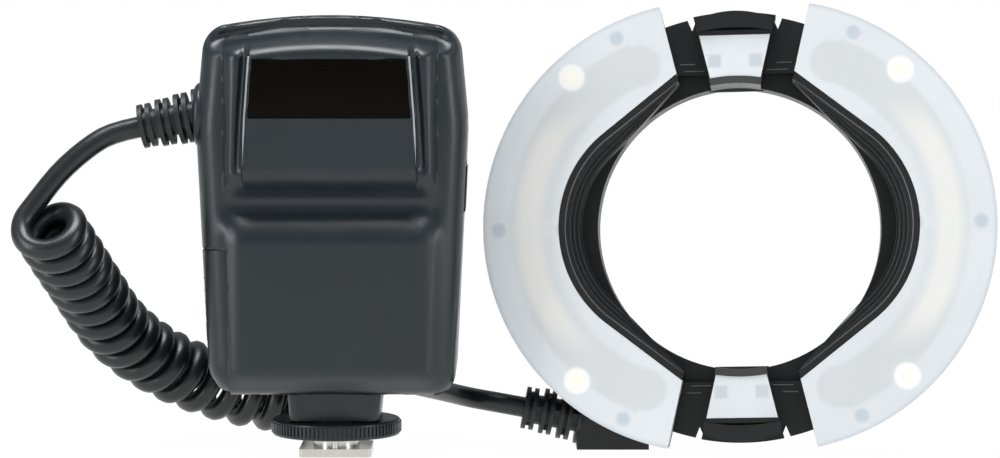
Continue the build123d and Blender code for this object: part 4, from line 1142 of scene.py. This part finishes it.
@dataclass
class WindowSill:
    """Dark inner wall of the ring at a lamp window: a curved L-shaped band over its edge."""

    level: Level
    inner: float = 36.92
    outer: float = 38.8
    front_y: float = -12.3
    back_y: float = 3.0
    thickness: float = 0.2
    half_angle: float = 10.1

    def build(self, material: Material) -> None:
        """Makes the band: its section is carried round the ring, place = radius * (sin, cos)."""
        turn = np.radians(np.linspace(-self.half_angle, self.half_angle, 49))[:, None]
        wall, plate = self.inner + self.thickness, self.front_y + self.thickness
        radius = np.array([self.inner, self.outer, self.outer, wall, wall, self.inner])
        depth = np.array([self.front_y, self.front_y, plate, plate, self.back_y, self.back_y])
        band = [radius * np.sin(turn), depth, radius * np.cos(turn) * self.level.value]
        grid = np.stack(np.broadcast_arrays(*band), -1)
        add_piece(f"window_sill_{self.level.name.lower()}", [RING_FRAME.world(grid)], material)


@dataclass
class PanelEdges:
    """Thin pale tubes along the edges of the head's window panel, left and right, whose pale grey paints the
    highlight on those edges.
    """

    heights: Point = (76.0, 88.4, 103.6)
    halves: Point = (21.75, 21.1, 20.0)
    y: float = -29.62
    radius: float = 0.3
    taper: float = 9.0

    def build(self, material: Material) -> None:
        """Makes both edges: a round profile carried along the panel's side, tapering at its lower end."""
        z = np.linspace(self.heights[0], self.heights[-1], 60)
        x = np.interp(z, self.heights, self.halves)
        sizes = smooth_step(z, self.heights[0], self.heights[0] + self.taper) * 0.9 + 0.1
        grids = []
        for side in (-1, 1):
            path = np.stack([side * x, np.full_like(z, self.y), z], -1)
            grid = sweep(circle(self.radius), path, np.array([1.0, 0, 0]), np.array([0, 1.0, 0]))
            grids.append(narrowed(grid, path, sizes) * MM)
        add_piece("panel_highlight_edges", grids, material)


@dataclass
class ButtonMarks:
    """Raised marks on the rear buttons: plus, minus, two bars, a dot and a cross, in millimetres."""

    y: float = 29.2
    reach: float = 1.5
    radius: float = 0.18

    def build(self, material: Material) -> None:
        """Makes the marks, each riding on its own button."""
        bars = {
            "plus_button": [((8, 50), (1, 0)), ((8, 50), (0, 1))],
            "minus_button": [((-8, 50), (1, 0))],
            "mode_button": [((-16, 64.7), (1, 0)), ((-16, 63.3), (1, 0))],
            "set_button": [((0, 64), (0.25, 0))],
            "test_button": [((16, 64), (0.7, 0.7)), ((16, 64), (0.7, -0.7))],
        }
        for body, lines in bars.items():
            grids = []
            for (x, z), (along, up) in lines:
                middle, way = np.array([x, self.y, z]), np.array([along, 0, up]) * self.reach
                grids.append(bar_grid(middle - way, middle + way, self.radius) * MM)
            add_piece(f"{body}_mark", grids, material, body)


# Assembly


def paint(node: Piece, material: Material) -> None:
    """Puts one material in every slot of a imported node."""
    if not node.material_slots:
        node.data.materials.append(material)
    for slot in node.material_slots:
        slot.material = material
    LOG.info("dressed %s in %s", node.name, material.name)


def dress_frame_nodes(nodes: dict[str, Piece]) -> None:
    """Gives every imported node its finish.

    Args:
        nodes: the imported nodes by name.
    """
    halves = ("left", "right")
    levels = ("top", "bottom")
    plan: list[tuple[Finish, list[str]]] = [
        (HOUSING, ["front_shell", "rear_shell", "top_cover", "cord_hub", "neck_block", "lock_wheel"]),
        (DOOR, ["battery_door", "door_latch", "socket_cover", "power_switch",
                *(f"{b}_button" for b in ("mode", "set", "test", "minus", "plus"))]),
        (GLOSS, ["sensor_window"]),
        (RUBBER, ["unit_relief", "ring_relief"]),
        (RING, ["ring_frame", *(f"bridge_{v}" for v in levels), *(f"release_button_{v}" for v in levels),
                *(f"{h}_housing" for h in halves), *(f"{h}_tube_clip" for h in halves)]),
        (STEEL, ["foot_plate", "clamp_ring"]),
        (SILL, [f"claw_{v}" for v in levels]),
        (GOLD, ["contact_pins", "battery_contacts"]),
        (SCREW, ["case_screws", *(f"{h}_screws" for h in halves), *(f"bridge_screws_{v}" for v in levels)]),
        (WRAP, ["battery_cells"]),
        (BOARD, ["main_board", *(f"window_lamps_{v}" for v in levels)]),
        (MIRROR, [f"{h}_reflector" for h in halves]),
        (TUBE, [f"{h}_flash_tube" for h in halves]),
        (LAMP, [f"{h}_lamps" for h in halves]),
        (INSULATOR, ["pin_insulator", "port_sockets", "battery_tray", "main_capacitor",
                     "charge_transformer"]),
        (DISPLAY, ["display_module"]),
        (PANE, ["display_pane"]),
        (WindowFinish("window_white"), [f"window_{v}" for v in levels]),
        *((DiffuserFinish(f"{h}_diffuser_white", side), [f"{h}_diffuser"]) for h, side in zip(halves, Side)),
    ]
    for finish, names in plan:
        material = finish.build()
        for name in names:
            paint(nodes[name], material)


def main() -> None:
    """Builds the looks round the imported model, in order."""
    logging.basicConfig(level=logging.INFO, format="%(message)s")
    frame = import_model()
    Studio().build()
    dress_frame_nodes(frame["nodes"])
    Cord().build(CORD.build())
    housing = HOUSING.build()
    FrontSkin().build(housing)
    HousingSkin().build(housing)
    # The rims, lips and bridge lines take a pale grey that paints their highlight.
    dark, pale = RING.build(), RIDGE_HIGHLIGHT.build()
    for side in Side:
        InnerRibs(side).build(dark, pale)
    sill = SILL.build()
    for level in Level:
        # Bridge lines in pale grey: painted highlight.
        BridgeLines(level).build(pale)
        WindowSill(level).build(sill)
    # Panel edges in pale grey: painted highlight.
    PanelEdges().build(PANEL_HIGHLIGHT.build())
    ButtonMarks().build(MARK.build())


if __name__ == "__main__":
    main()
